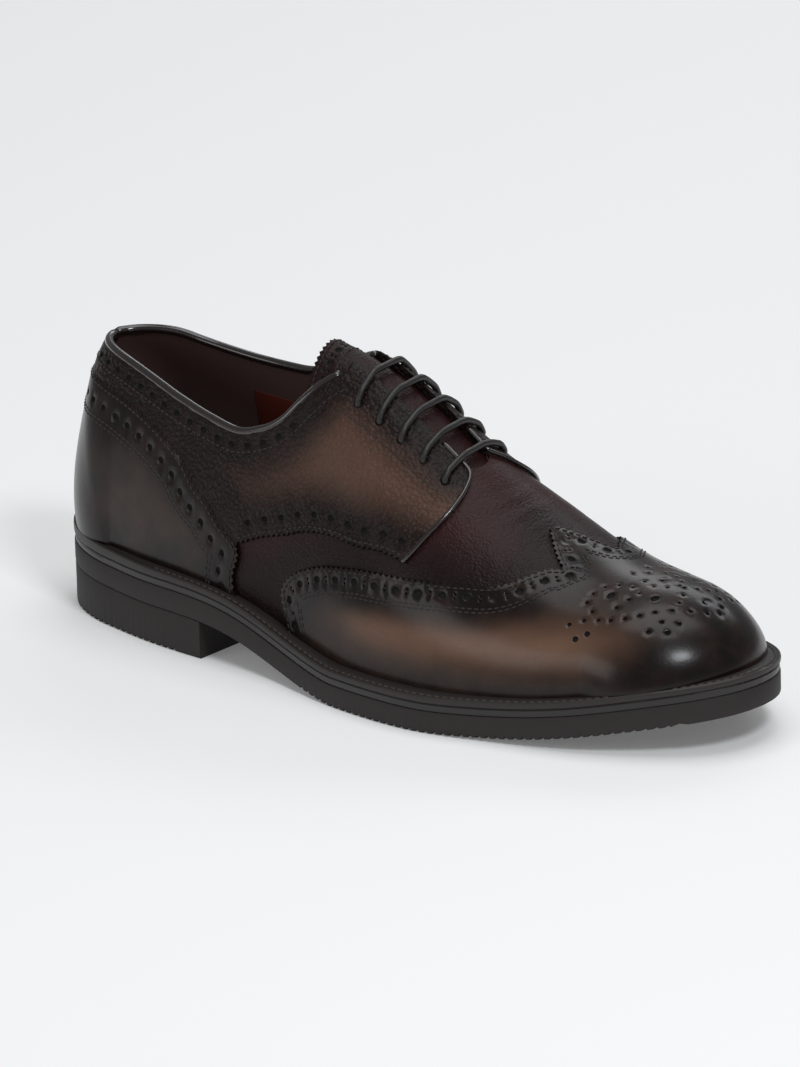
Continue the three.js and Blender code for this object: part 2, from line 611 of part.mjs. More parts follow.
// Rolled edge around the collar, seated on its cut edge.
function makeBinding() {
  const radius = BINDING_DIAMETER / 2;
  const lift = radius + 2 * SEAM_GAP;
  const seat = (rows, side) => {
    const line = collarLine(rows, COLLAR_STEPS);
    return line.slice(1, -1).map(([x, z], i) => {
      const run = line[i + 2][0] - line[i][0];
      const climb = line[i + 2][1] - line[i][1];
      const length = Math.hypot(run, climb);
      return upperAt(x - (climb / length) * lift, z + (run / length) * lift, side, insideDepth / 2);
    }).filter((point) => Math.abs(point.y - facingMiddle) > FACING_GAP / 2 + radius || point.x < HEEL_LENGTH);
  };
  const route = [...seat(COLLAR_LATERAL, "lateral").reverse(), ...seat(COLLAR_MEDIAL, "medial")];
  return tube(new THREE.CatmullRomCurve3(route, false, "centripetal"), radius, BINDING_STEPS);
}

function tube(curve, radius, steps) {
  const outline = [];
  for (let k = 0; k < TUBE_SIDES; k++) {
    const angle = (k / TUBE_SIDES) * 2 * Math.PI;
    outline.push(new THREE.Vector2(radius * Math.cos(angle), radius * Math.sin(angle)));
  }
  const shape = new THREE.Shape(outline);
  return solidOf(new THREE.ExtrudeGeometry(shape, { extrudePath: curve, steps, bevelEnabled: false }));
}

// One straight bar of the lace, over both facings from eyelet to eyelet.
function makeLaceBar({ x, lateral, medial }) {
  const lift = LACE_DIAMETER / 2 + SEAM_GAP;
  const POINTS = 7;
  const route = [];
  for (let i = 0; i < POINTS; i++) {
    const y = lateral + (medial - lateral) * (i / (POINTS - 1));
    const inner = Math.min(Math.max(y, facingMiddle - FACING_GAP / 2), facingMiddle + FACING_GAP / 2);
    const over = upperHeight(x, Math.abs(y - facingMiddle) < FACING_GAP / 2 ? inner : y, 0);
    route.push(new THREE.Vector3(x, y, over + lift * (1 + BAR_RISE)));
  }
  return tube(new THREE.CatmullRomCurve3(route), LACE_DIAMETER / 2, BAR_STEPS);
}

// Materials
const leather = (color, roughness) => new THREE.MeshStandardMaterial({ color, roughness, metalness: 0 });
const grainLeather = leather(0x4a3530, 0.5);
const smoothLeather = leather(0x3a2c2a, 0.35);
const liningLeather = leather(0x3a2a26, 0.7);
const edgeLeather = leather(0x2c2624, 0.6);
const rubber = new THREE.MeshStandardMaterial({ color: 0x3a3634, roughness: 0.75, metalness: 0 });
const waxedCord = new THREE.MeshStandardMaterial({ color: 0x3b3431, roughness: 0.5, metalness: 0 });

const shoe = new THREE.Group();
const put = (name, solid, material) => shoe.add(meshOf(name, solid, material));

put("outsole", soleLayer(underside, outsoleTop, OUTSOLE_INSET), rubber);
put("midsole", soleLayer((x) => outsoleTop(x) + SEAM_GAP, midsoleTop, MIDSOLE_INSET), edgeLeather);
const weltPlate = soleLayer((x) => midsoleTop(x) + SEAM_GAP, soleTop, 0);
const weltHole = soleLayer((x) => midsoleTop(x) - WELT_THICKNESS, (x) => soleTop(x) + WELT_THICKNESS, WELT_STRIP);
put("welt", weltPlate.subtract(weltHole), edgeLeather);
put("heel", soleLayer(() => 0, (x) => underside(x) - SEAM_GAP, HEEL_TAPER, HEEL_LENGTH), rubber);
put("insole", makeInsole(), liningLeather);
put("upper", makeUpper(), grainLeather);
put("quarter_lateral", makeQuarter(-WIDE, facingMiddle), grainLeather);
put("quarter_medial", makeQuarter(facingMiddle, WIDE), grainLeather);
put("counter", makeCounter(), smoothLeather);
put("wing_cap", makeWingCap(), smoothLeather);
put("tongue", makeTongue(), grainLeather);
put("collar_binding", makeBinding(), smoothLeather);
eyelets.forEach((pair, i) => put("lace_bar_" + (i + 1), makeLaceBar(pair), waxedCord));

shoe.position.set(-HEEL_LENGTH / 2, 0, 0);

export default shoe;
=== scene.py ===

# A right-foot leather derby shoe: the looks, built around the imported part.
# Lengths are millimetres from the back of the heel seat, and in_frame() turns them into metres
# in the part's own frame.
import math
import bpy
import numpy as np
from mathutils import Matrix, Vector, kdtree
from mathutils.geometry import delaunay_2d_cdt


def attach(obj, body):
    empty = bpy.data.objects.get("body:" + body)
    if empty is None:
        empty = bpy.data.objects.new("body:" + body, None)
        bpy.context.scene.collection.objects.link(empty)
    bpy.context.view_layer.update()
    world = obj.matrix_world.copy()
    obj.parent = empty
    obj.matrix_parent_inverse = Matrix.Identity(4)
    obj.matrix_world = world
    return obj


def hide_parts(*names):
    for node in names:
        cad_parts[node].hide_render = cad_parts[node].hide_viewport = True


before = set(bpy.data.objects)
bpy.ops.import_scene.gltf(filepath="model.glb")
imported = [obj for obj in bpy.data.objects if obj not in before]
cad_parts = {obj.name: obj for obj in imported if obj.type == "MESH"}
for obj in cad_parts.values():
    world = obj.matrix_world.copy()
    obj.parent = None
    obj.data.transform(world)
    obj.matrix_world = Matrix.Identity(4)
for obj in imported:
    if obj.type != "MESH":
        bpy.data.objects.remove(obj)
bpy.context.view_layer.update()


# Camera: at the photograph's angle to the shoe and aimed at its middle. The long lens keeps the
# near and the far edge of the sole almost parallel.
AZIMUTH, ELEVATION, ROLL = 40.42, 18.88, -1.62
DISTANCE = 3.496
LENS = 330.0
AIM = Vector((0.108, -0.004, 0.05))


def make_camera():
    a, e, r = (math.radians(angle) for angle in (AZIMUTH, ELEVATION, ROLL))
    back = Vector((math.sin(a) * math.cos(e), -math.cos(a) * math.cos(e), math.sin(e)))
    level = Vector((math.cos(a), math.sin(a), 0))
    right = math.cos(r) * level + math.sin(r) * back.cross(level)
    turn = Matrix((right, back.cross(right), back)).transposed()
    data = bpy.data.cameras.new("camera")
    camera = bpy.data.objects.new("camera", data)
    bpy.context.scene.collection.objects.link(camera)
    data.sensor_width = 36
    data.lens = LENS
    camera.matrix_world = Matrix.Translation(AIM + back * DISTANCE) @ turn.to_4x4()
    bpy.context.scene.camera = camera


make_camera()


# The last: the foot-shaped form that the leather is pulled over. Its sections stand along the ridge
# from heel to toe, and the edges of the pieces are drawn on it as pattern lines, in shares of the
# shoe's length and height.
def spline(stations, values):
    """Natural cubic through values at rising stations."""
    stations = np.asarray(stations, float)
    values = np.asarray(values, float)
    gaps = np.diff(stations)
    inner = gaps[1:-1]
    matrix = np.diag(2 * (gaps[:-1] + gaps[1:])) + np.diag(inner, 1) + np.diag(inner, -1)
    bend = np.zeros(len(values))
    bend[1:-1] = np.linalg.solve(matrix, 6 * np.diff(np.diff(values) / gaps))

    def curve(at):
        at = np.asarray(at, float)
        i = np.clip(np.searchsorted(stations, at) - 1, 0, len(gaps) - 1)
        a = (stations[i + 1] - at) / gaps[i]
        b = 1 - a
        cubic = (a**3 - a) * bend[i] + (b**3 - b) * bend[i + 1]
        return a * values[i] + b * values[i + 1] + cubic * gaps[i] ** 2 / 6

    return curve


def round_end(distance, reach):
    """Share of the full width at a distance from a rounded end."""
    left = np.maximum(0, 1 - distance / reach)
    return np.sqrt(np.maximum(0, 1 - left**2))


LENGTH = 308.0
HEEL_LIFT = 16.2
TOE_SPRING = 14.4
TREAD_FLAT = (0.51, 0.665)

# Bottom of the shoe, a row for each section: shares of LENGTH, BALL_WIDTH, HEEL_LIFT, TOE_SPRING
# and SEAT_RAISE.
BOTTOM_COLUMNS = ("along", "centre", "lateral", "medial", "lift", "spring", "seat")
BOTTOM = (
    (0.0, 0.0, 0.276, 0.306, 1.0, 0.0, 1.0),
    (0.04, 0.0, 0.286, 0.311, 0.98, 0.0, 0.86),
    (0.1, 0.0, 0.308, 0.311, 0.95, 0.0, 0.65),
    (0.18, 0.0, 0.357, 0.306, 0.91, 0.0, 0.37),
    (0.285, 0.0, 0.39, 0.27, 0.87, 0.0, 0.0),
    (0.341, 0.0, 0.4, 0.257, 0.7, 0.0, 0.0),
    (0.4, 0.002, 0.421, 0.26, 0.39, 0.0, 0.0),
    (0.461, 0.008, 0.468, 0.292, 0.14, 0.0, 0.0),
    (0.513, 0.02, 0.513, 0.325, 0.0, 0.0, 0.0),
    (0.58, 0.03, 0.546, 0.366, 0.0, 0.0, 0.0),
    (0.65, 0.046, 0.56, 0.412, 0.0, 0.0, 0.0),
    (0.72, 0.055, 0.525, 0.432, 0.0, 0.06, 0.0),
    (0.812, 0.062, 0.464, 0.408, 0.0, 0.28, 0.0),
    (0.893, 0.062, 0.392, 0.37, 0.0, 0.6, 0.0),
    (0.951, 0.062, 0.368, 0.345, 0.0, 0.83, 0.0),
    (1.0, 0.062, 0.365, 0.34, 0.0, 1.0, 0.0),
)
BOTTOM_CURVES = {
    name: spline([row[0] for row in BOTTOM], [row[i] for row in BOTTOM])
    for i, name in enumerate(BOTTOM_COLUMNS)
}


def underside(x):
    """Height of the tread: lifted at the heel, flat under the ball and sprung at the toe."""
    share = x / LENGTH
    height = BOTTOM_CURVES["lift"](share) * HEEL_LIFT + BOTTOM_CURVES["spring"](share) * TOE_SPRING
    flat = (share > TREAD_FLAT[0]) & (share < TREAD_FLAT[1])
    return np.where(flat, 0, np.maximum(0, height))


OUTSOLE_THICKNESS = 8.2


def outsole_top(x):
    return underside(x) + OUTSOLE_THICKNESS


MIDSOLE_THICKNESS = 2.6
SEAM_GAP = 0.3


def midsole_top(x):
    return outsole_top(x) + SEAM_GAP + MIDSOLE_THICKNESS


WELT_THICKNESS = 2.5
SEAT_RAISE = 1.9


def sole_top(x):
    seat = np.maximum(0, BOTTOM_CURVES["seat"](x / LENGTH))
    return midsole_top(x) + SEAM_GAP + WELT_THICKNESS + SEAT_RAISE * seat


BALL_WIDTH = 108.0
HEEL_ROUND = 0.12
TOE_ROUND = 0.162


def sole_edges(x, inset):
    """Lateral and medial edge of the sole at x, moved in by inset."""
    share = x / LENGTH
    cap = round_end(x - inset, HEEL_ROUND * LENGTH - inset) * round_end(
        LENGTH - inset - x, TOE_ROUND * LENGTH - inset
    )
    centre = BOTTOM_CURVES["centre"](share) * BALL_WIDTH
    lateral = centre - (BOTTOM_CURVES["lateral"](share) * BALL_WIDTH - inset) * cap
    medial = centre + (BOTTOM_CURVES["medial"](share) * BALL_WIDTH - inset) * cap
    return lateral, medial


UPPER_DEPTH = 100.0
WELT_MARGIN = 7.0
FOOT_DROP = 4.0
UPPER_COLUMNS = (
    "base", "ridge", "height", "shift",
    "lateral_rise", "medial_rise", "lateral_bulge", "medial_bulge",
    "lateral_crown", "medial_crown", "lateral_margin", "medial_margin",
)

# Upper, a row for each section of the last. base and ridge are shares of LENGTH, height of
# UPPER_DEPTH above the sole, shift and bulge of BALL_WIDTH, margin of WELT_MARGIN. crown is how much
# of the half width the top keeps, and rise is how high the side stands before it turns in. At heel
# and toe the sections fan out about one base line.
UPPER = (
    (0.12, 0.013, -0.04, 0.0, 0.5, 0.5, 0.018, 0.018, 0.6, 0.6, 0.56, 0.6),
    (0.12, 0.007, 0.14, 0.0, 0.5, 0.5, 0.028, 0.028, 0.56, 0.56, 0.56, 0.6),
    (0.12, 0.013, 0.33, 0.0, 0.5, 0.5, 0.037, 0.037, 0.52, 0.52, 0.56, 0.6),
    (0.12, 0.031, 0.562, 0.0, 0.52, 0.52, 0.042, 0.042, 0.46, 0.46, 0.56, 0.6),
    (0.12, 0.044, 0.681, 0.0, 0.55, 0.55, 0.042, 0.042, 0.42, 0.42, 0.56, 0.6),
    (0.12, 0.12, 0.84, 0.0, 0.6, 0.6, 0.037, 0.037, 0.38, 0.4, 0.56, 0.6),
    (0.201, 0.201, 0.875, 0.0, 0.58, 0.58, 0.028, 0.056, 0.4, 0.46, 0.76, 0.45),
    (0.299, 0.299, 0.92, 0.009, 0.52, 0.55, 0.005, 0.093, 0.42, 0.54, 0.69, 0.45),
    (0.396, 0.394, 0.975, 0.023, 0.49, 0.55, -0.009, 0.111, 0.49, 0.52, 0.8, 0.57),
    (0.487, 0.487, 0.92, 0.037, 0.48, 0.56, -0.009, 0.102, 0.5, 0.52, 0.97, 0.57),
    (0.578, 0.578, 0.745, 0.046, 0.49, 0.57, 0.0, 0.074, 0.52, 0.58, 1.0, 0.71),
    (0.666, 0.666, 0.575, 0.051, 0.52, 0.61, 0.009, 0.046, 0.55, 0.7, 1.05, 0.94),
    (0.753, 0.755, 0.425, 0.055, 0.55, 0.62, 0.014, 0.028, 0.56, 0.7, 0.9, 1.1),
    (0.838, 0.838, 0.335, 0.055, 0.6, 0.62, 0.018, 0.018, 0.58, 0.66, 0.9, 1.15),
    (0.838, 0.89, 0.31, 0.055, 0.58, 0.6, 0.018, 0.022, 0.58, 0.64, 0.9, 1.15),
    (0.838, 0.943, 0.235, 0.055, 0.56, 0.58, 0.018, 0.026, 0.56, 0.6, 0.9, 1.15),
    (0.838, 0.975, 0.121, 0.055, 0.55, 0.56, 0.018, 0.026, 0.53, 0.57, 0.9, 1.15),
    (0.838, 0.979, 0.0, 0.055, 0.55, 0.56, 0.014, 0.024, 0.53, 0.56, 0.9, 1.15),
)
HEEL_FAN_ROWS = 6
TOE_FAN_ROWS = 5
FAN_COLUMNS = ("base", "shift", "lateral_margin", "medial_margin")
ridge_run = [(row[1] * LENGTH, row[2] * UPPER_DEPTH) for row in UPPER]
ridge_steps = [math.dist(p, q) for p, q in zip(ridge_run, ridge_run[1:])]
UPPER_STATIONS = np.concatenate([[0], np.cumsum(ridge_steps)])
UPPER_CURVES = {
    name: spline(UPPER_STATIONS, [row[i] for row in UPPER]) for i, name in enumerate(UPPER_COLUMNS)
}
HEEL_FAN_END = UPPER_STATIONS[HEEL_FAN_ROWS - 1]
TOE_FAN_START = UPPER_STATIONS[len(UPPER) - TOE_FAN_ROWS]


def section(station, depth):
    """The last's sections at stations along the ridge, moved in by depth."""
    row = {name: curve(station) for name, curve in UPPER_CURVES.items()}
    for name in FAN_COLUMNS:
        column = UPPER_COLUMNS.index(name)
        row[name] = np.where(station <= HEEL_FAN_END, UPPER[0][column], row[name])
        row[name] = np.where(station >= TOE_FAN_START, UPPER[-1][column], row[name])
    base_x = row["base"] * LENGTH
    foot = sole_top(base_x) + SEAM_GAP
    base_z = foot - FOOT_DROP
    across = row["ridge"] * LENGTH - base_x
    climb = foot + row["height"] * UPPER_DEPTH - base_z
    kept = 1 - depth / np.hypot(across, climb)
    lateral, medial = sole_edges(base_x, 0)
    shift = row["shift"] * BALL_WIDTH
    return {
        "base_x": base_x, "base_z": base_z, "shift": shift,
        "across": across * kept, "climb": climb * kept,
        "lateral_half": shift - lateral - row["lateral_margin"] * WELT_MARGIN - depth,
        "medial_half": medial - shift - row["medial_margin"] * WELT_MARGIN - depth,
        **{key: row[key] for key in UPPER_COLUMNS if "rise" in key or "bulge" in key or "crown" in key},
    }


def side_curve(cut, lateral, up):
    """Share of the height, and distance from the ridge line, at a place up one side of a section."""
    half, rise, bulge, crown = (
        np.where(lateral, cut["lateral_" + word], cut["medial_" + word])
        for word in ("half", "rise", "bulge", "crown")
    )
    down = 1 - up
    high = 3 * down**2 * up * rise + 3 * down * up**2 + up**3
    bulged = half + bulge * BALL_WIDTH
    out = down**3 * half + 3 * down**2 * up * bulged + 3 * down * up**2 * crown * half
    return high, out


HALVINGS = 32


def halve(high, goes_up):
    """The value between 0 and high where goes_up turns false, one for each entry."""
    low = np.zeros_like(high)
    for _ in range(HALVINGS):
        middle = (low + high) / 2
        more = goes_up(middle)
        low = np.where(more, middle, low)
        high = np.where(more, high, middle)
    return low


GIRTH = 75.0
RIDGE = float(UPPER_STATIONS[-1])


def side_uv(rows, side):
    """Pattern places of a line given in side view. side is -1 for lateral, 1 for medial."""
    rows = np.asarray(rows, float)
    x = rows[:, 0] * LENGTH
    z = sole_top(np.maximum(0, x)) + rows[:, 1] * UPPER_DEPTH

    def behind(station):
        cut = section(station, 0)
        return cut["climb"] * (x - cut["base_x"]) > cut["across"] * (z - cut["base_z"])

    u = halve(np.full(len(x), RIDGE), behind)
    cut = section(u, 0)
    share = np.hypot(x - cut["base_x"], z - cut["base_z"]) / np.hypot(cut["across"], cut["climb"])
    up = halve(np.ones(len(x)), lambda at: side_curve(cut, side < 0, at)[0] < share)
    return np.stack([u, side * (1 - up) * GIRTH], axis=1)


def top_uv(rows):
    """Pattern places of a line given in top view."""
    rows = np.asarray(rows, float)
    x = rows[:, 0] * LENGTH
    y = rows[:, 1] * BALL_WIDTH

    def behind(station):
        cut = section(station, 0)
        return cut["base_x"] + cut["across"] < x

    u = halve(np.full(len(x), RIDGE), behind)
    cut = section(u, 0)
    out = np.abs(y - cut["shift"])
    up = halve(np.ones(len(x)), lambda at: side_curve(cut, y < cut["shift"], at)[1] > out)
    return np.stack([u, np.sign(y - cut["shift"]) * (1 - up) * GIRTH], axis=1)


def rounded(uv, pieces=12):
    """A smooth line through rough places of the pattern."""
    uv = np.asarray(uv, float)
    ends = np.concatenate([[2 * uv[0] - uv[1]], uv, [2 * uv[-1] - uv[-2]]])
    knots = np.concatenate([[0], np.cumsum(np.sqrt(np.linalg.norm(np.diff(ends, axis=0), axis=1)) + 1e-6)])
    out = []
    for i in range(1, len(ends) - 2):
        t0, t1, t2, t3 = knots[i - 1 : i + 3]
        p0, p1, p2, p3 = ends[i - 1 : i + 3]
        for t in np.linspace(t1, t2, pieces, endpoint=False):
            a1 = (t1 - t) / (t1 - t0) * p0 + (t - t0) / (t1 - t0) * p1
            a2 = (t2 - t) / (t2 - t1) * p1 + (t - t1) / (t2 - t1) * p2
            a3 = (t3 - t) / (t3 - t2) * p2 + (t - t2) / (t3 - t2) * p3
            b1 = (t2 - t) / (t2 - t0) * a1 + (t - t0) / (t2 - t0) * a2
            b2 = (t3 - t) / (t3 - t1) * a2 + (t - t1) / (t3 - t1) * a3
            out.append((t2 - t) / (t2 - t1) * b1 + (t - t1) / (t2 - t1) * b2)
    out.append(uv[-1])
    return np.array(out)


FACING_GAP = 14.0
FACING_SHIFT = 0.014
facing_middle = FACING_SHIFT * BALL_WIDTH
facing_half = FACING_GAP / 2
FACING_TOP = 0.436
FACING_FOOT = 0.596


def facing_line(side, out=0.0):
    """Front edge of a facing, moved out from the opening."""
    share = (facing_middle + side * (facing_half + out)) / BALL_WIDTH
    return top_uv([(at, share) for at in np.linspace(FACING_TOP, FACING_FOOT, 12)])


def side_line(rows, side):
    """A smooth pattern line from rough places in side view, closer together at its first end."""
    fine = rounded(rows)
    at = np.arange(len(fine)) / 12
    bunched = np.concatenate([np.linspace(0, 1, 24, endpoint=False) ** 2, at[12:]])
    return side_uv(np.stack([np.interp(bunched, at, fine[:, k]) for k in range(2)], axis=1), side)


# Pattern lines in side view: (share of LENGTH, share of UPPER_DEPTH above the sole).
COLLAR_LATERAL = (
    (0.042, 0.696), (0.11, 0.68), (0.166, 0.652), (0.218, 0.615), (0.266, 0.586), (0.31, 0.577),
    (0.346, 0.624), (0.37, 0.685), (0.39, 0.774), (0.412, 0.867), (0.427, 0.91),
)
COLLAR_MEDIAL = (
    (0.042, 0.696), (0.104, 0.704), (0.14, 0.684), (0.179, 0.669), (0.221, 0.66), (0.263, 0.661),
    (0.295, 0.672), (0.328, 0.713), (0.357, 0.767), (0.386, 0.842), (0.412, 0.902), (0.427, 0.93),
)
COUNTER_EDGE = (
    (0.034, 0.585), (0.078, 0.57), (0.13, 0.547), (0.182, 0.503), (0.235, 0.42), (0.266, 0.33),
    (0.288, 0.29), (0.304, 0.245), (0.317, 0.22), (0.333, 0.188), (0.337, 0.16), (0.33, 0.065),
    (0.337, -0.04),
)
QUARTER_FRONT = (
    (0.609, 0.665), (0.617, 0.625), (0.618, 0.585), (0.614, 0.545), (0.606, 0.5), (0.597, 0.45),
    (0.588, 0.407),
)
QUARTER_FOOT = (
    (0.588, 0.407), (0.556, 0.423), (0.522, 0.421), (0.481, 0.42), (0.438, 0.385), (0.403, 0.325),
    (0.372, 0.272), (0.356, 0.24), (0.332, 0.19),
)
lines = {}
for side, collar_rows, word in ((-1, COLLAR_LATERAL, "lateral"), (1, COLLAR_MEDIAL, "medial")):
    lines["collar_" + word] = side_line(collar_rows, side)
    lines["collar_" + word][0, 1] = 0
    lines["counter_" + word] = side_line(COUNTER_EDGE, side)
    lines["counter_" + word][0, 1] = 0
    lines["foot_" + word] = rounded(side_uv(QUARTER_FOOT, side))
    front = np.concatenate([facing_line(side)[-3:], side_uv(QUARTER_FRONT, side)])
    lines["front_" + word] = rounded(front)


# Counter: the polished calf piece that wraps the heel. It is cut with a pinked front edge, punched
# with one row of holes and stitched on top of both quarters.
def last_point(uv, depth=0.0):
    """Points of the last: u runs along the ridge from heel to toe, v from the lateral foot over 0
    to the medial foot."""
    uv = np.atleast_2d(uv)
    cut = section(np.clip(uv[:, 0], 0, RIDGE), depth)
    around = np.clip(uv[:, 1] / GIRTH, -1, 1)
    high, out = side_curve(cut, around < 0, 1 - np.abs(around))
    return np.stack([
        cut["base_x"] + cut["across"] * high,
        cut["shift"] + np.sign(around) * out,
        cut["base_z"] + cut["climb"] * high,
    ], axis=1)


def surface_frame(uv, depth=0.0):
    """Point, both pattern directions and the outward normal at places of the pattern."""
    step = 0.05
    point = last_point(uv, depth)
    along = (last_point(uv + [step, 0], depth) - last_point(uv - [step, 0], depth)) / (2 * step)
    around = (last_point(uv + [0, step], depth) - last_point(uv - [0, step], depth)) / (2 * step)
    normal = np.cross(along, around)
    normal /= np.maximum(1e-9, np.linalg.norm(normal, axis=1))[:, None]
    return point, along, around, normal


def moved(uv, arrow):
    """Pattern places after a small move by an arrow in space along the surface."""
    _, along, around, _ = surface_frame(uv)
    aa, ab, bb = (along * along).sum(1), (along * around).sum(1), (around * around).sum(1)
    pa, pb = (along * arrow).sum(1), (around * arrow).sum(1)
    area = np.maximum(1e-6, aa * bb - ab * ab)
    return uv + np.stack([(pa * bb - pb * ab) / area, (pb * aa - pa * ab) / area], axis=1)


def spaced(uv, step):
    """The line again, with places an even step apart in space."""
    points = last_point(uv)
    run = np.concatenate([[0], np.cumsum(np.linalg.norm(np.diff(points, axis=0), axis=1))])
    count = max(2, int(round(run[-1] / step)) + 1)
    at = np.linspace(0, run[-1], count)
    return np.stack([np.interp(at, run, uv[:, 0]), np.interp(at, run, uv[:, 1])], axis=1)


def sideways(uv):
    """Unit arrows across a line, to the left of its run as seen from outside."""
    point, _, _, normal = surface_frame(uv)
    run = np.gradient(point, axis=0)
    left = np.cross(normal, run)
    return left / np.maximum(1e-9, np.linalg.norm(left, axis=1))[:, None]


def beside(uv, distance):
    """A line at that distance to the left of another, without the loops at its corners."""
    line = spaced(uv, 1.0)
    out = moved(line, sideways(line) * distance)
    here, there = last_point(line), last_point(out)
    nearest = np.sqrt(((there[:, None, :] - here[None, :, :]) ** 2).sum(2)).min(1)
    return spaced(out[nearest > abs(distance) * 0.94], 1.0)


TOOTH = 2.5
TOOTH_DEPTH = 1.1


def pinked(uv):
    """A line cut into teeth, whose tips stay on it. The piece lies to its left."""
    line = spaced(uv, TOOTH / 2)
    cut = np.where(np.arange(len(line)) % 2 == 0, 0.0, TOOTH_DEPTH)
    return moved(line, sideways(line) * cut[:, None])


HEEL_LENGTH = 88.0


def in_frame(points):
    """Metres in the part's frame."""
    return (np.asarray(points) - [HEEL_LENGTH / 2, 0, 0]) / 1000


def make_object(name, points, faces, materials, indices=None, attributes=None, smooth=True):
    mesh = bpy.data.meshes.new(name)
    mesh.from_pydata([tuple(p) for p in in_frame(points)], [], [tuple(int(i) for i in f) for f in faces])
    for material in materials:
        mesh.materials.append(material)
    if indices is not None:
        mesh.polygons.foreach_set("material_index", np.asarray(indices, np.int32))
    for key, values in (attributes or {}).items():
        mesh.attributes.new(key, "FLOAT", "POINT").data.foreach_set("value", np.asarray(values, np.float32))
    if smooth:
        mesh.shade_smooth()
    mesh.update()
    piece = bpy.data.objects.new(name, mesh)
    bpy.context.scene.collection.objects.link(piece)
    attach(piece, "root")
    return piece


def linear(code):
    """Linear red, green and blue of an sRGB hex colour."""
    shares = [int(code[i : i + 2], 16) / 255 for i in (1, 3, 5)]
    return tuple(share / 12.92 if share <= 0.04045 else ((share + 0.055) / 1.055) ** 2.4 for share in shares)


def new_material(name):
    """A new material with its node tree and its shader."""
    material = bpy.data.materials.new(name)
    material.use_nodes = True
    return material, material.node_tree, material.node_tree.nodes["Principled BSDF"]


def add_node(tree, kind, settings=None, values=None, links=None):
    """A node with its settings, the values of its sockets and the sockets that feed it."""
    node = tree.nodes.new(kind)
    for key, value in (settings or {}).items():
        setattr(node, key, value)
    for key, value in (values or {}).items():
        node.inputs[key].default_value = value
    for key, source in (links or {}).items():
        tree.links.new(source, node.inputs[key])
    return node


def add_bump(tree, strength, depth, height, under=None, invert=False):
    """The normal of a relief of that depth in metres, over the one under it."""
    links = {"Height": height} if under is None else {"Height": height, "Normal": under}
    return add_node(
        tree, "ShaderNodeBump", {"invert": invert}, {"Strength": strength, "Distance": depth}, links
    ).outputs["Normal"]


DYE_CLOUD = 0.35
DYE_IN_GRAIN = 0.24
GRAIN_DEPTH = 0.0007
FOLD_DEPTH = 0.0006
PORE_DEPTH = 0.0002
PORE_STRENGTH = 0.12
CLOUDS_A_METRE = 90
FOLDS_A_METRE = 420
PORES_A_METRE = 2600
WAX_ROUGHNESS = 0.2
DRY_SHINE = 0.16


def leather(name, dark, light, grain_size, grain_strength, roughness, coat, wrinkle):
    """Burnished calf. The tone attribute runs from the dark dye at 0 to the light one at 1; on some pieces
    it also carries painted highlight and painted shade. The grain is given in millimetres, the dye gathers
    in its valleys, and wax gives the coat."""
    material, tree, base = new_material(name)
    place = add_node(tree, "ShaderNodeTexCoord").outputs["Object"]
    tone = add_node(tree, "ShaderNodeAttribute", {"attribute_name": "tone"}).outputs["Fac"]
    warp = add_node(
        tree, "ShaderNodeTexNoise", None, {"Scale": 420 / grain_size, "Detail": 3}, {"Vector": place}
    )
    bend = add_node(
        tree, "ShaderNodeVectorMath", {"operation": "MULTIPLY_ADD"}, {1: (0.0016 * grain_size,) * 3},
        {0: warp.outputs["Color"], 2: place},
    )
    pebble = add_node(
        tree, "ShaderNodeTexVoronoi", {"feature": "SMOOTH_F1"},
        {"Scale": 1000 / grain_size, "Smoothness": 0.6}, {"Vector": bend.outputs[0]},
    ).outputs["Distance"]
    cloud = add_node(
        tree, "ShaderNodeTexNoise", None, {"Scale": CLOUDS_A_METRE, "Detail": 5}, {"Vector": place}
    ).outputs["Fac"]
    less = add_node(
        tree, "ShaderNodeMath", {"operation": "SUBTRACT"}, {1: DYE_CLOUD / 2}, {0: tone}
    ).outputs[0]
    spread = add_node(
        tree, "ShaderNodeMath", {"operation": "MULTIPLY_ADD"}, {1: DYE_CLOUD}, {0: cloud, 2: less}
    ).outputs[0]
    gathered = add_node(
        tree, "ShaderNodeMath", {"operation": "MULTIPLY_ADD"}, {1: -DYE_IN_GRAIN * grain_strength},
        {0: pebble, 2: spread},
    ).outputs[0]
    ramp = add_node(tree, "ShaderNodeValToRGB", links={"Fac": gathered})
    for element, dye in zip(ramp.color_ramp.elements, (dark, light)):
        element.color = (*linear(dye), 1)
    tree.links.new(ramp.outputs["Color"], base.inputs["Base Color"])
    stretch = add_node(
        tree, "ShaderNodeMapping", None, {"Scale": (1.0, 0.28, 0.5)}, {"Vector": place}
    ).outputs["Vector"]
    folds = add_node(
        tree, "ShaderNodeTexNoise", None, {"Scale": FOLDS_A_METRE, "Detail": 3, "Distortion": 0.6},
        {"Vector": stretch},
    ).outputs["Fac"]
    fine = add_node(
        tree, "ShaderNodeTexNoise", None, {"Scale": PORES_A_METRE, "Detail": 4}, {"Vector": place}
    ).outputs["Fac"]
    grained = add_bump(tree, grain_strength, GRAIN_DEPTH, pebble, invert=True)
    wrinkled = add_bump(tree, wrinkle, FOLD_DEPTH, folds, grained)
    pored = add_bump(tree, PORE_STRENGTH, PORE_DEPTH, fine, wrinkled)
    tree.links.new(pored, base.inputs["Normal"])
    base.inputs["Roughness"].default_value = roughness
    base.inputs["Coat Weight"].default_value = coat
    base.inputs["Coat Roughness"].default_value = WAX_ROUGHNESS
    base.inputs["Specular IOR Level"].default_value = DRY_SHINE
    return material


SKIN_DEPTH = 0.0003


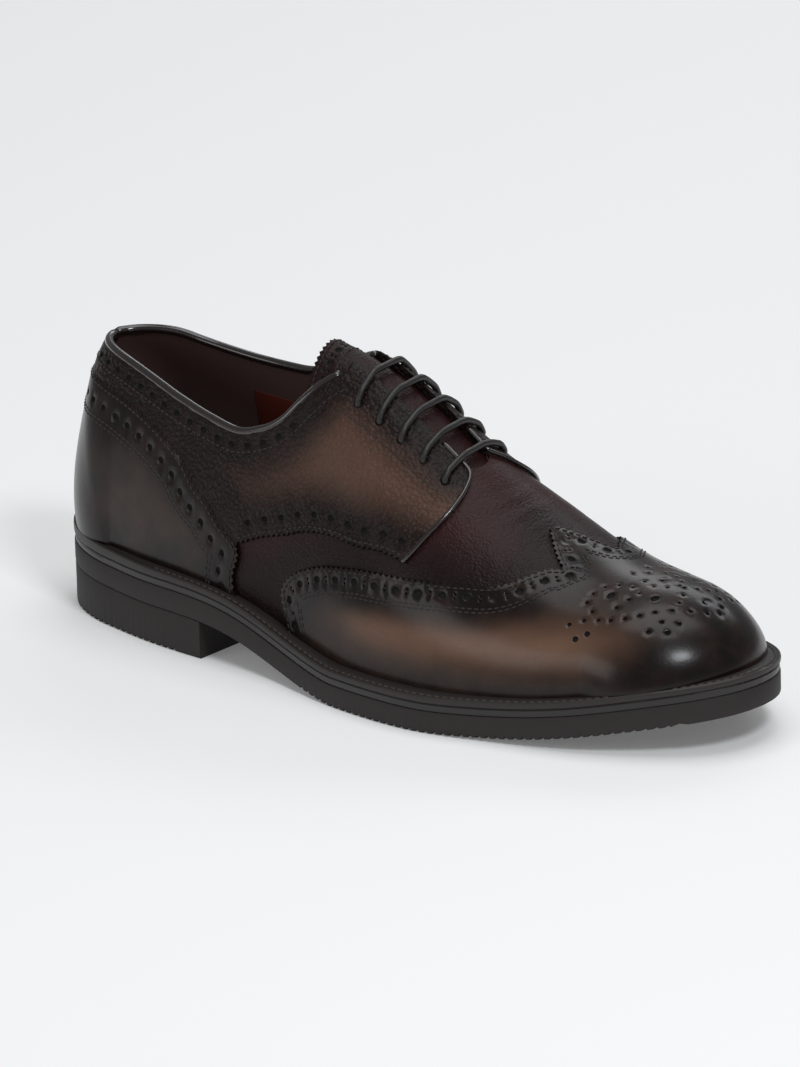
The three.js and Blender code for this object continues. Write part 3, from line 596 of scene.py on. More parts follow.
def plain(name, colour, roughness, coat=0.0, noise_scale=900, noise_strength=0.15):
    """A surface of one colour with a fine rough relief."""
    material, tree, base = new_material(name)
    place = add_node(tree, "ShaderNodeTexCoord").outputs["Object"]
    noise = add_node(
        tree, "ShaderNodeTexNoise", None, {"Scale": noise_scale, "Detail": 5}, {"Vector": place}
    ).outputs["Fac"]
    base.inputs["Base Color"].default_value = (*linear(colour), 1)
    base.inputs["Roughness"].default_value = roughness
    base.inputs["Coat Weight"].default_value = coat
    tree.links.new(add_bump(tree, noise_strength, SKIN_DEPTH, noise), base.inputs["Normal"])
    return material


def ring(centres, radius, stretch=None, sides=10):
    """Places round each centre of the pattern. stretch gives each its run, and its length along it."""
    point, along, _, normal = surface_frame(centres)
    if stretch is None:
        run = along / np.linalg.norm(along, axis=1)[:, None]
        long = np.ones(len(centres))
    else:
        run, long = stretch
    across = np.cross(normal, run)
    rings = []
    for k in range(sides):
        angle = 2 * math.pi * k / sides
        ahead = run * (radius * long * math.cos(angle))[:, None]
        aside = across * (radius * math.sin(angle))[:, None]
        rings.append(moved(centres, ahead + aside))
    return np.stack(rings, axis=1)


def joined(rows):
    """Like parts of several rows, put end to end."""
    return tuple(np.concatenate(part) for part in zip(*rows))


def crossings(points, loop):
    """Which points lie inside a closed loop."""
    inside = np.zeros(len(points), bool)
    start, end = loop, np.roll(loop, -1, axis=0)
    for (x0, y0), (x1, y1) in zip(start, end):
        if y0 == y1:
            continue
        span = (points[:, 1] > min(y0, y1)) & (points[:, 1] <= max(y0, y1))
        inside ^= span & (points[:, 0] < x0 + (points[:, 1] - y0) * (x1 - x0) / (y1 - y0))
    return inside


def row_of_holes(uv, pitch, large, small, within=None, pair_gap=1.7):
    """Large holes along a line, with a pair of small ones across it between each two: their
    centres, radii, runs and stretches."""
    line = spaced(uv, pitch / 2)[1:-1]
    point = last_point(line)
    run = np.gradient(point, axis=0)
    run /= np.linalg.norm(run, axis=1)[:, None]
    side = sideways(line)
    big, gaps = line[0::2], line[1::2]
    found = [(big, np.full(len(big), large), run[0::2], np.full(len(big), 1.25))]
    if small:
        for way in (-1, 1):
            centres = moved(gaps, side[1::2] * way * pair_gap / 2)
            found.append((centres, np.full(len(gaps), small), run[1::2], np.ones(len(gaps))))
    found = joined(found)
    keep = np.ones(len(found[0]), bool) if within is None else crossings(found[0], within)
    return tuple(part[keep] for part in found)


def near_tree(points):
    """Search tree for the nearest of many points."""
    tree = kdtree.KDTree(len(points))
    for i, p in enumerate(points):
        tree.insert((*p, 0) if len(p) == 2 else p, i)
    tree.balance()
    return tree


def distances(points, tree):
    """How far each point is from the nearest point of a search tree."""
    return np.array([tree.find((*p, 0) if len(p) == 2 else p)[2] for p in points])


OVERLAY_DEPTH = 1.2
CHAMFER = 0.3
HOLE_HALO = 0.28
GRID_ROW = 0.87
GRID_CLEARANCE = 0.55


def make_panel(
    name, loop, materials, depth=0.0, wall=OVERLAY_DEPTH, spacing=1.8, cutouts=(), holes=None,
    hole_depth=1.0, relief=None, tone=None, soft=1.2, inward=False,
):
    """A piece of leather cut from the last's surface. wall is how far its edge goes down from its
    face, and is negative on a piece that faces inwards. Cutouts and punched holes have walls too,
    and the floors of the holes take the second material."""
    loops = [np.asarray(part) for part in (loop, *cutouts)]
    places, lifts, edges, groups, rims = [], [], [], [], []

    def add(points, lift, closed, group=-1):
        first = sum(len(part) for part in places)
        places.append(points)
        lifts.append(np.full(len(points), lift))
        groups.append(np.full(len(points), group))
        if closed:
            count = len(points)
            edges.extend((first + i, first + (i + 1) % count) for i in range(count))
        return first

    for part in loops:
        rims.append((add(part, CHAMFER, True), len(part), None))
    edge_points = np.concatenate(loops)
    if holes is not None:
        centres, radii, runs, stretches = holes
        for size in np.unique(radii):
            chosen = radii == size
            sides = 12 if size > 0.8 else 7
            stretch = (runs[chosen], stretches[chosen])
            inner = ring(centres[chosen], radii[chosen], stretch, sides)
            outer = ring(centres[chosen], radii[chosen] + HOLE_HALO, stretch, sides)
            for rim, halo in zip(inner, outer):
                rims.append((add(rim, CHAMFER * 0.6, True, len(rims)), sides, "hole"))
                add(halo, 0.0, False)
    fixed = np.concatenate(places)
    low, high = loops[0].min(0), loops[0].max(0)
    rows = np.arange(low[1], high[1], spacing * GRID_ROW)
    grid = []
    for i, v in enumerate(rows):
        along = np.arange(low[0] + spacing / 2 * (i % 2), high[0], spacing)
        grid.append(np.stack([along, np.full(len(along), v)], axis=1))
    grid = np.concatenate(grid)
    keep = crossings(grid, loops[0])
    for part in loops[1:]:
        keep &= ~crossings(grid, part)
    grid = grid[keep]
    grid = grid[distances(grid, near_tree(fixed)) > spacing * GRID_CLEARANCE]
    add(grid, 0.0, False)
    placed = np.concatenate(places)
    lift_in = np.concatenate(lifts)
    group_in = np.concatenate(groups)
    made = delaunay_2d_cdt([Vector(p) for p in placed], edges, [], 0, 1e-6)
    uv = np.array([tuple(p) for p in made[0]])
    triangles = np.array([tuple(f) for f in made[2]])
    origin = np.array([ids[0] if ids else -1 for ids in made[3]])
    lift = np.where(origin >= 0, lift_in[origin], 0.0)
    group = np.where(origin >= 0, group_in[origin], -1)
    centre = uv[triangles].mean(1)
    keep = crossings(centre, loops[0])
    for part in loops[1:]:
        keep &= ~crossings(centre, part)
    owner = group[triangles]
    in_hole = (owner[:, 0] >= 0) & (owner[:, 0] == owner[:, 1]) & (owner[:, 1] == owner[:, 2])
    keep &= ~in_hole
    triangles = triangles[keep]
    first_corner, second_corner, third_corner = (uv[triangles[:, k]] for k in range(3))
    flip = np.cross(second_corner - first_corner, third_corner - first_corner) < 0
    triangles[flip] = triangles[flip][:, ::-1]
    if soft:
        to_edge = distances(uv, near_tree(edge_points))
        rounding = CHAMFER * 0.8 * np.clip(1 - to_edge / soft, 0, 1) ** 2
        lift = np.where(lift > 0, lift, rounding)
    sink = relief(uv) if relief else 0.0
    inset = -lift if inward else lift
    points = last_point(uv, depth + inset + sink)
    shade = tone(uv, points) if tone else np.full(len(uv), 0.5)
    vertices, faces, kinds, tones = [points], [triangles], [np.zeros(len(triangles), int)], [shade]
    count = len(points)
    for first, size, kind in rims:
        part = placed[first : first + size]
        drop = hole_depth if kind == "hole" else wall
        start_lift = CHAMFER * 0.6 if kind == "hole" else CHAMFER
        start_lift = -start_lift if inward else start_lift
        sink = relief(part) if relief else 0.0
        top = last_point(part, depth + start_lift + sink)
        bottom = last_point(part, depth + drop + sink)
        turned = np.cross(part - part[0], np.roll(part, -1, axis=0) - part[0]).sum() > 0
        i = np.arange(size)
        j = (i + 1) % size
        quads = np.stack([i, i + size, j + size, j], axis=1) + count
        is_outer = first == 0
        if turned != is_outer:
            quads = quads[:, ::-1]
        vertices += [top, bottom]
        faces.append(quads)
        kinds.append(np.full(size, 1 if kind == "hole" else 0))
        tones.append(np.full(2 * size, 0.0))
        count += 2 * size
        if kind == "hole":
            floor = np.arange(size) + count - size
            faces.append([tuple(floor if turned else floor[::-1])])
            kinds.append(np.ones(1, int))
    all_faces = [tuple(f) for part in faces for f in part]
    if inward:
        all_faces = [f[::-1] for f in all_faces]
    return make_object(
        name, np.concatenate(vertices), all_faces, materials, np.concatenate(kinds),
        {"tone": np.concatenate(tones)},
    )


def smooth_step(values, low, high):
    """A soft rise from 0 at low to 1 at high."""
    share = np.clip((values - low) / (high - low), 0, 1)
    return share * share * (3 - 2 * share)


def along_foot(side, start, end, count=60):
    """The lower border of the pattern, from one station to another."""
    return np.stack([np.linspace(start, end, count), np.full(count, side * GIRTH)], axis=1)


def without_repeats(loop):
    """The loop without places that lie on the next one."""
    keep = np.linalg.norm(loop - np.roll(loop, -1, axis=0), axis=1) > 1e-4
    return loop[keep]


counter_edge = np.concatenate([lines["counter_lateral"][::-1], lines["counter_medial"][1:]])
counter_tree = near_tree(last_point(spaced(counter_edge, 2)))


def counter_tone(uv, points):
    """Burnished dark at the heel and the edge, darker at the foot from burnish and painted shade, a little
    lighter between them.
    """
    heel_dark = smooth_step(points[:, 0], 10, 70)
    # Darker towards the foot: partly burnish, partly painted shade where the upper turns in to the welt.
    foot_burnish_and_shade = smooth_step(points[:, 2] - sole_top(points[:, 0]), 2, 18)
    middle = smooth_step(distances(points, counter_tree), 8, 26)
    return 0.03 + 0.2 * heel_dark * foot_burnish_and_shade * middle


WALL_DEPTH = OVERLAY_DEPTH + SEAM_GAP
OVERLAY_RAISE = 0.45

# Box calf, burnished and waxed by hand: nearly black at the edges, with a clear highlight.
smooth_leather = leather("smooth_leather", "#120a09", "#6e5242", 0.8, 0.05, 0.3, 0.3, 0.06)

# The bottom of a punched hole, which hardly any light reaches.
hole_dark = plain("hole_dark", "#0a0707", 0.9)
border = {
    "heel": np.stack([np.zeros(40), np.linspace(GIRTH, -GIRTH, 40)], axis=1),
    "toe": np.stack([np.full(60, RIDGE), np.linspace(GIRTH, -GIRTH, 60)], axis=1),
}
counter_cut = pinked(counter_edge)
counter_loop = without_repeats(np.concatenate([
    counter_cut,
    along_foot(1, counter_cut[-1][0], 0)[1:],
    border["heel"][1:],
    along_foot(-1, 0, counter_cut[0][0])[1:-1],
]))
COUNTER_ROW = 7.4
HOLE_PITCH = 7.2
HOLE_RADIUS = 1.15
counter_holes = row_of_holes(beside(counter_edge, COUNTER_ROW), HOLE_PITCH, HOLE_RADIUS, 0)
counter = make_panel(
    "heel_counter", counter_loop, [smooth_leather, hole_dark], -OVERLAY_RAISE,
    WALL_DEPTH + OVERLAY_RAISE, holes=counter_holes, tone=counter_tone, hole_depth=0.9,
)
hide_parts("counter")


# Winged cap: the polished calf piece over the toe, whose wings run back along both sides. Its edge
# is pinked and rises to a point on the vamp, and its top is punched with rings and arcs of holes.

# Creases where the foot bends, in side view on both sides and in top view across the vamp: two
# ends, depth and width.
CREASES = (
    ((0.625, 0.5), (0.662, 0.41), 0.3, 2.2),
    ((0.641, 0.535), (0.682, 0.42), 0.26, 2.4),
    ((0.612, 0.45), (0.644, 0.39), 0.26, 2.0),
    ((0.655, 0.55), (0.7, 0.415), 0.2, 2.6),
)
TOP_CREASES = (
    ((0.632, -0.11), (0.641, 0.14), 0.25, 2.6),
    ((0.652, -0.15), (0.665, 0.17), 0.3, 3.0),
    ((0.676, -0.13), (0.685, 0.18), 0.22, 3.0),
)


def crease_segments():
    found = []
    for start, end, deep, wide in CREASES:
        for side in (-1, 1):
            ends = side_uv((start, end), side)
            found.append((ends[0], ends[1], deep, wide))
    for start, end, deep, wide in TOP_CREASES:
        ends = top_uv((start, end))
        found.append((ends[0], ends[1], deep, wide))
    return found


creases = crease_segments()


def creased(uv):
    """Depth of the creases, as soft troughs with a low ridge beside each."""
    sink = np.zeros(len(uv))
    for start, end, deep, wide in creases:
        run = end - start
        share = np.clip(((uv - start) @ run) / (run @ run), 0, 1)
        bow = start + share[:, None] * run
        bow[:, 0] += 2.5 * np.sin(share * math.pi)
        away = np.linalg.norm(uv - bow, axis=1) / wide
        fade = np.sin(np.clip(share, 0.02, 0.98) * math.pi) ** 0.5
        sink += deep * fade * (1 - away**2) * np.exp(-(away**2))
    return sink


def shrunk(loop, edge, margin):
    """The loop again, with what lies along the edge moved in by a margin."""
    tree = near_tree(last_point(spaced(edge, 1)))
    middle = loop.mean(0)
    away = distances(last_point(loop), tree)
    pulled = loop + (middle - loop) / np.linalg.norm(middle - loop, axis=1)[:, None] * margin
    return np.where((away < TOOTH)[:, None], pulled, loop)


# The pattern punched in the toe, in top view: (share of LENGTH, share of BALL_WIDTH out from its
# middle line, radius).
TOE_PATTERN = (
    (0.803, 0.316, 0.85), (0.818, 0.29, 0.85), (0.836, 0.273, 0.85), (0.854, 0.26, 0.85),
    (0.871, 0.238, 0.85), (0.884, 0.209, 0.85), (0.895, 0.172, 0.85), (0.907, 0.13, 0.85),
    (0.92, 0.086, 0.85), (0.931, 0.043, 0.85), (0.937, 0.0, 0.85), (0.817, 0.338, 1.15),
    (0.83, 0.316, 1.15), (0.912, 0.187, 0.85), (0.926, 0.153, 0.85), (0.912, 0.236, 0.95),
    (0.928, 0.202, 0.95), (0.808, 0.202, 0.6), (0.809, 0.239, 0.8), (0.822, 0.258, 0.8),
    (0.814, 0.16, 0.6), (0.826, 0.129, 0.6), (0.842, 0.114, 0.6), (0.848, 0.215, 0.8),
    (0.853, 0.17, 0.8), (0.856, 0.128, 0.6), (0.86, 0.067, 0.6), (0.873, 0.042, 0.6),
    (0.886, 0.0, 0.8), (0.896, 0.042, 0.8), (0.903, 0.085, 0.8), (0.823, 0.043, 0.6),
    (0.834, 0.0, 0.6), (0.845, 0.061, 0.6), (0.879, 0.0, 0.6), (0.829, 0.182, 1.35),
    (0.878, 0.122, 1.35), (0.918, 0.0, 1.35), (0.857, 0.0, 1.4),
)
TOE_PATTERN_MIDDLE = 0.066
TOE_PATTERN_MEDIAL = 0.8
OVAL_FROM = 1.2
OVAL_STRETCH = 1.45


def toe_holes():
    """Holes of the toe's pattern: its medial half is a little narrower."""
    rows = []
    for x, y, r in TOE_PATTERN:
        rows.append((x, TOE_PATTERN_MIDDLE - y, r))
        if y:
            rows.append((x, TOE_PATTERN_MIDDLE + y * TOE_PATTERN_MEDIAL, r))
    centres = top_uv([row[:2] for row in rows])
    radii = np.array([row[2] for row in rows])
    around = surface_frame(centres)[2]
    run = around / np.linalg.norm(around, axis=1)[:, None]
    return centres, radii, run, np.where(radii > OVAL_FROM, OVAL_STRETCH, 1.0)


WING_EDGE = (
    (0.419, -0.04), (0.41, 0.06), (0.404, 0.12), (0.412, 0.18), (0.432, 0.24), (0.468, 0.305),
    (0.511, 0.345), (0.594, 0.36), (0.666, 0.365), (0.71, 0.365),
)

# Lines in top view: (share of LENGTH, share of BALL_WIDTH to the inner side).
WING_POINT = (
    (0.748, -0.122), (0.757, -0.11), (0.744, -0.088), (0.724, -0.045), (0.706, 0.012),
    (0.728, 0.07), (0.752, 0.115), (0.766, 0.142), (0.76, 0.168),
)
wing_rough = np.concatenate([
    side_uv(WING_EDGE, -1), top_uv(WING_POINT), side_uv(WING_EDGE, 1)[::-1],
])
wing_edge = rounded(wing_rough)
# Height above the sole and width of the painted highlight, a light band on the wing's sides.
WING_HIGHLIGHT_HEIGHT = 17
WING_HIGHLIGHT_WIDTH = 7.5
wing_tree = near_tree(last_point(spaced(wing_edge, 2)))


def wing_tone(uv, points):
    """Dark toe and edges, with a painted highlight low on the sides: a light band."""
    toe_dark = 1 - smooth_step(points[:, 0], LENGTH * 0.8, LENGTH * 0.93)
    above_foot = points[:, 2] - sole_top(points[:, 0])
    ahead = smooth_step(points[:, 0], LENGTH * 0.46, LENGTH * 0.58)
    # Painted highlight: a light band along the wing's sides, at a set height above the sole.
    painted_highlight = np.exp(-(((above_foot - WING_HIGHLIGHT_HEIGHT) / WING_HIGHLIGHT_WIDTH) ** 2)) * ahead
    middle = smooth_step(distances(points, wing_tree), 9, 20)
    return 0.02 + toe_dark * middle * (0.08 + 0.85 * painted_highlight)


wing_cut = pinked(wing_edge[::-1])[::-1]
wing_loop = without_repeats(np.concatenate([
    wing_cut[::-1],
    along_foot(-1, wing_cut[0][0], RIDGE)[1:],
    border["toe"][::-1][1:],
    along_foot(1, RIDGE, wing_cut[-1][0])[1:-1],
]))
WING_ROW = 4.8
WING_PITCH = 9.5
WING_HOLE = 1.3
PINHOLE = 0.5
WING_RIM = 3.2
wing_holes = row_of_holes(
    beside(wing_edge, -WING_ROW), WING_PITCH, WING_HOLE, PINHOLE, shrunk(wing_loop, wing_edge, WING_RIM)
)
CAP_RAISE = 0.1
wing = make_panel(
    "winged_cap", wing_loop, [smooth_leather, hole_dark], -CAP_RAISE, WALL_DEPTH + CAP_RAISE,
    holes=joined((wing_holes, toe_holes())), relief=creased, tone=wing_tone, hole_depth=0.95,
)
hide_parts("wing_cap")


# Quarters: the two grained calf pieces that carry the laces. Each has a row of holes under the
# collar and along its pinked foot, and five plain punched eyelets. They are sewn over the vamp.
EYELET_SETBACK = 9.5
EYELET_OUT = facing_half + EYELET_SETBACK


def eyelet_uv(share, side):
    return top_uv([(share, (facing_middle + side * EYELET_OUT) / BALL_WIDTH)])


EYELET_DIAMETER = 3.6
EYELET_PAIRS = 5
EYELETS_SPAN = (0.466, 0.594)
UPPER_WALL = 2.0
INSIDE_DEPTH = WALL_DEPTH + UPPER_WALL

# Shrunken calf, drummed so that it draws up in pebbles of about 1.4 mm: satin, and lighter on
# their tops.
grain_leather = leather("grain_leather", "#180e0d", "#5d4438", 1.35, 0.9, 0.4, 0.06, 0.1)
eyelets = np.linspace(*EYELETS_SPAN, EYELET_PAIRS)
COLLAR_ROW = 5.4
FOOT_ROW = 6.6
FOOT_PITCH = 8.2
EDGE_SEAM = 2.0
COLLAR_SEAM = 7.9
FACING_SEAM = 15.5


def make_quarter(word, side):
    """One quarter with its holes. Returns the lines that its seams follow."""
    collar, foot, front = (lines[part + word] for part in ("collar_", "foot_", "front_"))
    facing = facing_line(side)
    counter_side = lines["counter_" + word]
    under = beside(counter_side, 4 * side)
    under[0, 1] = 0.0
    seam_back = np.array([[under[0][0], side * 0.1], [collar[0][0], side * 0.1]])
    foot_cut = pinked(foot) if side > 0 else pinked(foot[::-1])[::-1]
    loop = np.concatenate([
        seam_back[1:], spaced(collar, 1.5)[1:], spaced(facing[:-2], 1.5), spaced(front, 1.5),
        foot_cut[1:], spaced(under[::-1], 1.5)[6:], seam_back[:1],
    ])
    loop[np.abs(loop[:, 1]) < 0.1, 1] = side * 0.1
    loop = without_repeats(loop)
    under_collar = beside(collar, COLLAR_ROW * side)[:-18]
    rows = [
        row_of_holes(under_collar, HOLE_PITCH, HOLE_RADIUS, 0),
        row_of_holes(beside(foot, FOOT_ROW * side), FOOT_PITCH, HOLE_RADIUS, 0),
    ]
    punched = np.concatenate([eyelet_uv(share, side) for share in eyelets])
    along = surface_frame(punched)[1]
    run = along / np.linalg.norm(along, axis=1)[:, None]
    rows.append((punched, np.full(len(punched), EYELET_DIAMETER / 2), run, np.ones(len(punched))))
    edges = [spaced(part, 2) for part in (collar, foot, counter_side, facing)]
    tree = near_tree(last_point(np.concatenate(edges)))

    def tone(uv, points):
        middle = smooth_step(distances(points, tree), 7, 26)
        ahead = smooth_step(points[:, 0], LENGTH * 0.25, LENGTH * 0.5)
        return 0.1 + 0.95 * middle * (0.25 + 0.75 * ahead)

    piece = make_panel(
        "quarter_panel_" + word, loop, [grain_leather, hole_dark], 0.0, INSIDE_DEPTH - 0.1,
        holes=joined(rows), tone=tone, hole_depth=1.1,
    )
    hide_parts("quarter_" + word)
    return [
        beside(collar, COLLAR_SEAM * side), beside(foot, EDGE_SEAM * side),
        beside(facing, EDGE_SEAM * side), beside(facing, FACING_SEAM * side)[4:],
    ]


quarter_seams = make_quarter("lateral", -1) + make_quarter("medial", 1)


# Vamp and lining: the soft calf wall under all the other pieces, with the opening for the foot cut
# out, and the leather lining on its inner face. The wall is lasted under the welt.
THROAT_END = 0.607


def opening_loop(out):
    """Edge of the opening: both collars and facings, and the round end of the throat."""
    lateral = np.concatenate([beside(lines["collar_lateral"], -out), facing_line(-1, out)])
    medial = np.concatenate([beside(lines["collar_medial"], out), facing_line(1, out)])
    end = top_uv([
        (
            THROAT_END + (facing_half / LENGTH) * (math.cos(angle) - 1),
            (facing_middle + (facing_half + out) * math.sin(angle)) / BALL_WIDTH,
        )
        for angle in np.linspace(-math.pi / 2, math.pi / 2, 9)[1:-1]
    ])
    return without_repeats(np.concatenate([spaced(lateral, 2), end, spaced(medial[::-1], 2)]))


def vamp_tone(uv, points):
    """Brushed darker along the wing, and darker low on the sides from burnish and painted shade."""
    middle = smooth_step(distances(points, wing_tree), 3, 22)
    # Partly burnish, partly painted shade where the upper turns in to the welt.
    low = smooth_step(points[:, 2] - sole_top(points[:, 0]), 8, 30)
    return 0.15 + 0.75 * middle * low


# Soft calf, dyed oxblood and brushed: a low gloss, with fine wrinkles where it flexes.
vamp_leather = leather("vamp_leather", "#160a0b", "#341919", 0.9, 0.35, 0.4, 0.04, 0.4)
whole_loop = without_repeats(np.concatenate([
    along_foot(-1, 0, RIDGE, 160), border["toe"][::-1][1:],
    along_foot(1, RIDGE, 0, 160)[1:], border["heel"][1:-1],
]))
vamp = make_panel(
    "vamp", whole_loop, [vamp_leather], WALL_DEPTH, UPPER_WALL - 0.5, 2.2,
    cutouts=[opening_loop(1.5)], relief=creased, tone=vamp_tone,
)

# Vegetable-tanned lining calf, left unwaxed: matt and even.
lining_leather = plain("lining_leather", "#59423e", 0.6)
lining = make_panel(
    "lining", whole_loop, [lining_leather], INSIDE_DEPTH, -0.5, 3.5, cutouts=[opening_loop(0.4)],
    soft=0, inward=True,
)
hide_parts("upper")


# Tongue: a calf tongue with a pinked top and a row of holes, lined on its back. It is an extension
# of the vamp and lies under both facings.
def tongue_tone(uv, points):
    """Darker towards the top of the tongue."""
    return 0.25 + 0.4 * smooth_step(points[:, 0], LENGTH * 0.4, LENGTH * 0.5)


TONGUE_DEPTH = INSIDE_DEPTH + SEAM_GAP
TONGUE_THICKNESS = 2.0
TONGUE_HALF = (
    (0.381, 0.0), (0.383, 0.1), (0.39, 0.19), (0.41, 0.215), (0.45, 0.2), (0.52, 0.16), (0.6, 0.13),
    (0.64, 0.11),
)
tongue_lateral = [(at, facing_middle / BALL_WIDTH - out) for at, out in TONGUE_HALF[::-1]]
tongue_medial = [(at, facing_middle / BALL_WIDTH + out) for at, out in TONGUE_HALF[1:]]
tongue_line = rounded(top_uv(tongue_lateral + tongue_medial))
tongue_points = last_point(tongue_line)
near_top = tongue_points[:, 0] < LENGTH * 0.44
tongue_top = pinked(tongue_line[near_top][::-1])[::-1]
first_top = int(np.argmax(near_top))
last_top = len(near_top) - int(np.argmax(near_top[::-1]))
tongue_loop = without_repeats(np.concatenate([
    spaced(tongue_line[: first_top + 1], 2)[:-1], tongue_top, spaced(tongue_line[last_top - 1 :], 2)[1:],
]))
tongue_edge = tongue_line[near_top]
TONGUE_ROW = 6.0
TONGUE_PITCH = 7.0
tongue = make_panel(
    "tongue_leather", tongue_loop, [vamp_leather, hole_dark], TONGUE_DEPTH, TONGUE_THICKNESS / 2, 1.8,
    holes=row_of_holes(beside(tongue_edge, -TONGUE_ROW), TONGUE_PITCH, HOLE_RADIUS, PINHOLE),
    tone=tongue_tone,
)
tongue_back = make_panel(
    "tongue_lining", tongue_loop, [lining_leather], TONGUE_DEPTH + TONGUE_THICKNESS,
    -TONGUE_THICKNESS / 2, 4, soft=0, inward=True,
)
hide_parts("tongue")


# Collar roll and beads: a strip of polished calf turned over a cord along the collar, and a thin
# bead down the front edge of each quarter.
def make_tube(name, points, radius, material, sides=10, radii=None):
    """A round cord or rolled edge along a line in space."""
    points = np.asarray(points, float)
    runs = np.gradient(points, axis=0)
    runs /= np.linalg.norm(runs, axis=1)[:, None]
    side = np.cross(runs[0], [0.0, 0.0, 1.0] if abs(runs[0][2]) < 0.9 else [1.0, 0.0, 0.0])
    sizes = np.full(len(points), radius) if radii is None else radii
    vertices = []
    for i, run in enumerate(runs):
        side = side - run * (side @ run)
        side /= np.linalg.norm(side)
        other = np.cross(run, side)
        for k in range(sides):
            angle = 2 * math.pi * k / sides
            vertices.append(points[i] + sizes[i] * (math.cos(angle) * side + math.sin(angle) * other))
    faces = []
    for i in range(len(points) - 1):
        for k in range(sides):
            a, b = i * sides + k, i * sides + (k + 1) % sides
            faces.append((a, b, b + sides, a + sides))
    faces.append(tuple(range(sides))[::-1])
    faces.append(tuple(range((len(points) - 1) * sides, len(points) * sides)))
    return make_object(name, vertices, faces, [material])


BINDING_DIAMETER = 3.2

# Thin box calf turned over a cord: the tight bend polishes it.
bead_leather = plain("bead_leather", "#221918", 0.22, 0.8)
binding_depth = INSIDE_DEPTH / 2
collar_only = np.concatenate([
    spaced(lines["collar_lateral"][::-1], 2), spaced(lines["collar_medial"], 2)[1:],
])
binding = make_tube(
    "collar_roll", last_point(collar_only, binding_depth), BINDING_DIAMETER / 2 + 0.15, bead_leather, 14
)
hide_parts("collar_binding")
BEAD_RADIUS = 0.85
for word, side in (("lateral", -1), ("medial", 1)):
    front = spaced(lines["front_" + word], 1.0)
    bead = make_tube("front_bead_" + word, last_point(front, 0.25), BEAD_RADIUS, bead_leather, 10)


# Seams: waxed thread, sewn by machine in single rows near the edges and in double rows behind the
# punched holes, and sunk a little in the leather.
STITCH_SEGMENTS = 7
STITCH_RINGS = 5


def stitch_tree():
    """One rounded stitch on each point, its length along the run and its side to the leather."""
    tree = bpy.data.node_groups.new("stitches", "GeometryNodeTree")
    sockets = {}
    tree.interface.new_socket("Places", in_out="INPUT", socket_type="NodeSocketGeometry")
    for word, kind in (("Length", "Float"), ("Width", "Float"), ("Thread", "Material")):
        socket = tree.interface.new_socket(word, in_out="INPUT", socket_type="NodeSocket" + kind)
        sockets[word] = socket.identifier
    tree.interface.new_socket("Stitches", in_out="OUTPUT", socket_type="NodeSocketGeometry")
    given = add_node(tree, "NodeGroupInput").outputs
    sphere = add_node(
        tree, "GeometryNodeMeshUVSphere",
        values={"Segments": STITCH_SEGMENTS, "Rings": STITCH_RINGS, "Radius": 0.5},
    )
    size = add_node(
        tree, "ShaderNodeCombineXYZ", links={"X": given["Width"], "Y": given["Width"], "Z": given["Length"]}
    )
    stitch = add_node(
        tree, "GeometryNodeTransform",
        links={"Geometry": sphere.outputs["Mesh"], "Scale": size.outputs["Vector"]},
    )
    arrow = {"data_type": "FLOAT_VECTOR"}
    run = add_node(tree, "GeometryNodeInputNamedAttribute", arrow, {"Name": "run"})
    outward = add_node(tree, "GeometryNodeInputNamedAttribute", arrow, {"Name": "outward"})
    turn = add_node(
        tree, "FunctionNodeAxesToRotation",
        links={"Primary Axis": run.outputs["Attribute"], "Secondary Axis": outward.outputs["Attribute"]},
    )
    copies = add_node(
        tree, "GeometryNodeInstanceOnPoints",
        links={
            "Points": given["Places"], "Instance": stitch.outputs["Geometry"],
            "Rotation": turn.outputs["Rotation"],
        },
    )
    real = add_node(
        tree, "GeometryNodeRealizeInstances", links={"Geometry": copies.outputs["Instances"]}
    )
    soft = add_node(tree, "GeometryNodeSetShadeSmooth", links={"Geometry": real.outputs["Geometry"]})
    dyed = add_node(
        tree, "GeometryNodeSetMaterial",
        links={"Geometry": soft.outputs["Geometry"], "Material": given["Thread"]},
    )
    add_node(tree, "NodeGroupOutput", links={"Stitches": dyed.outputs["Geometry"]})
    return tree, sockets


stitch_nodes, stitch_sockets = stitch_tree()


def make_stitches(name, points, runs, normals, length, radius, material):
    """Short rounded stitches laid along their runs."""
    mesh = bpy.data.meshes.new(name)
    mesh.from_pydata([tuple(p) for p in in_frame(points)], [], [])
    for key, arrows in (("run", runs), ("outward", normals)):
        values = np.ascontiguousarray(arrows, np.float32).ravel()
        mesh.attributes.new(key, "FLOAT_VECTOR", "POINT").data.foreach_set("vector", values)
    piece = bpy.data.objects.new(name, mesh)
    bpy.context.scene.collection.objects.link(piece)
    sewing = piece.modifiers.new("sewing", "NODES")
    sewing.node_group = stitch_nodes
    sewing[stitch_sockets["Length"]] = length / 1000
    sewing[stitch_sockets["Width"]] = 2 * radius / 1000
    sewing[stitch_sockets["Thread"]] = material
    finished = piece.evaluated_get(bpy.context.evaluated_depsgraph_get())
    made = bpy.data.meshes.new_from_object(finished)
    piece.modifiers.remove(sewing)
    for key in ("run", "outward"):
        if key in made.attributes:
            made.attributes.remove(made.attributes[key])
    piece.data = made
    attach(piece, "root")
    return piece


STITCH = 2.5


def seam(lines, depth, within=None):
    """Places, runs and normals of stitches along lines of the pattern, a little sunk in the leather."""
    found = []
    for line in lines:
        at = spaced(line, STITCH)
        point, _, _, normal = surface_frame(at, depth)
        keep = np.ones(len(at), bool) if within is None else crossings(at, within)
        keep[[0, -1]] = False
        run = np.gradient(point, axis=0)
        run -= normal * (run * normal).sum(1)[:, None]
        length = np.linalg.norm(run, axis=1)
        keep &= (length > 0.8 * STITCH) & (length < 1.15 * STITCH)
        found.append((point[keep], run[keep], normal[keep]))
    return joined(found)


THREAD = 0.32

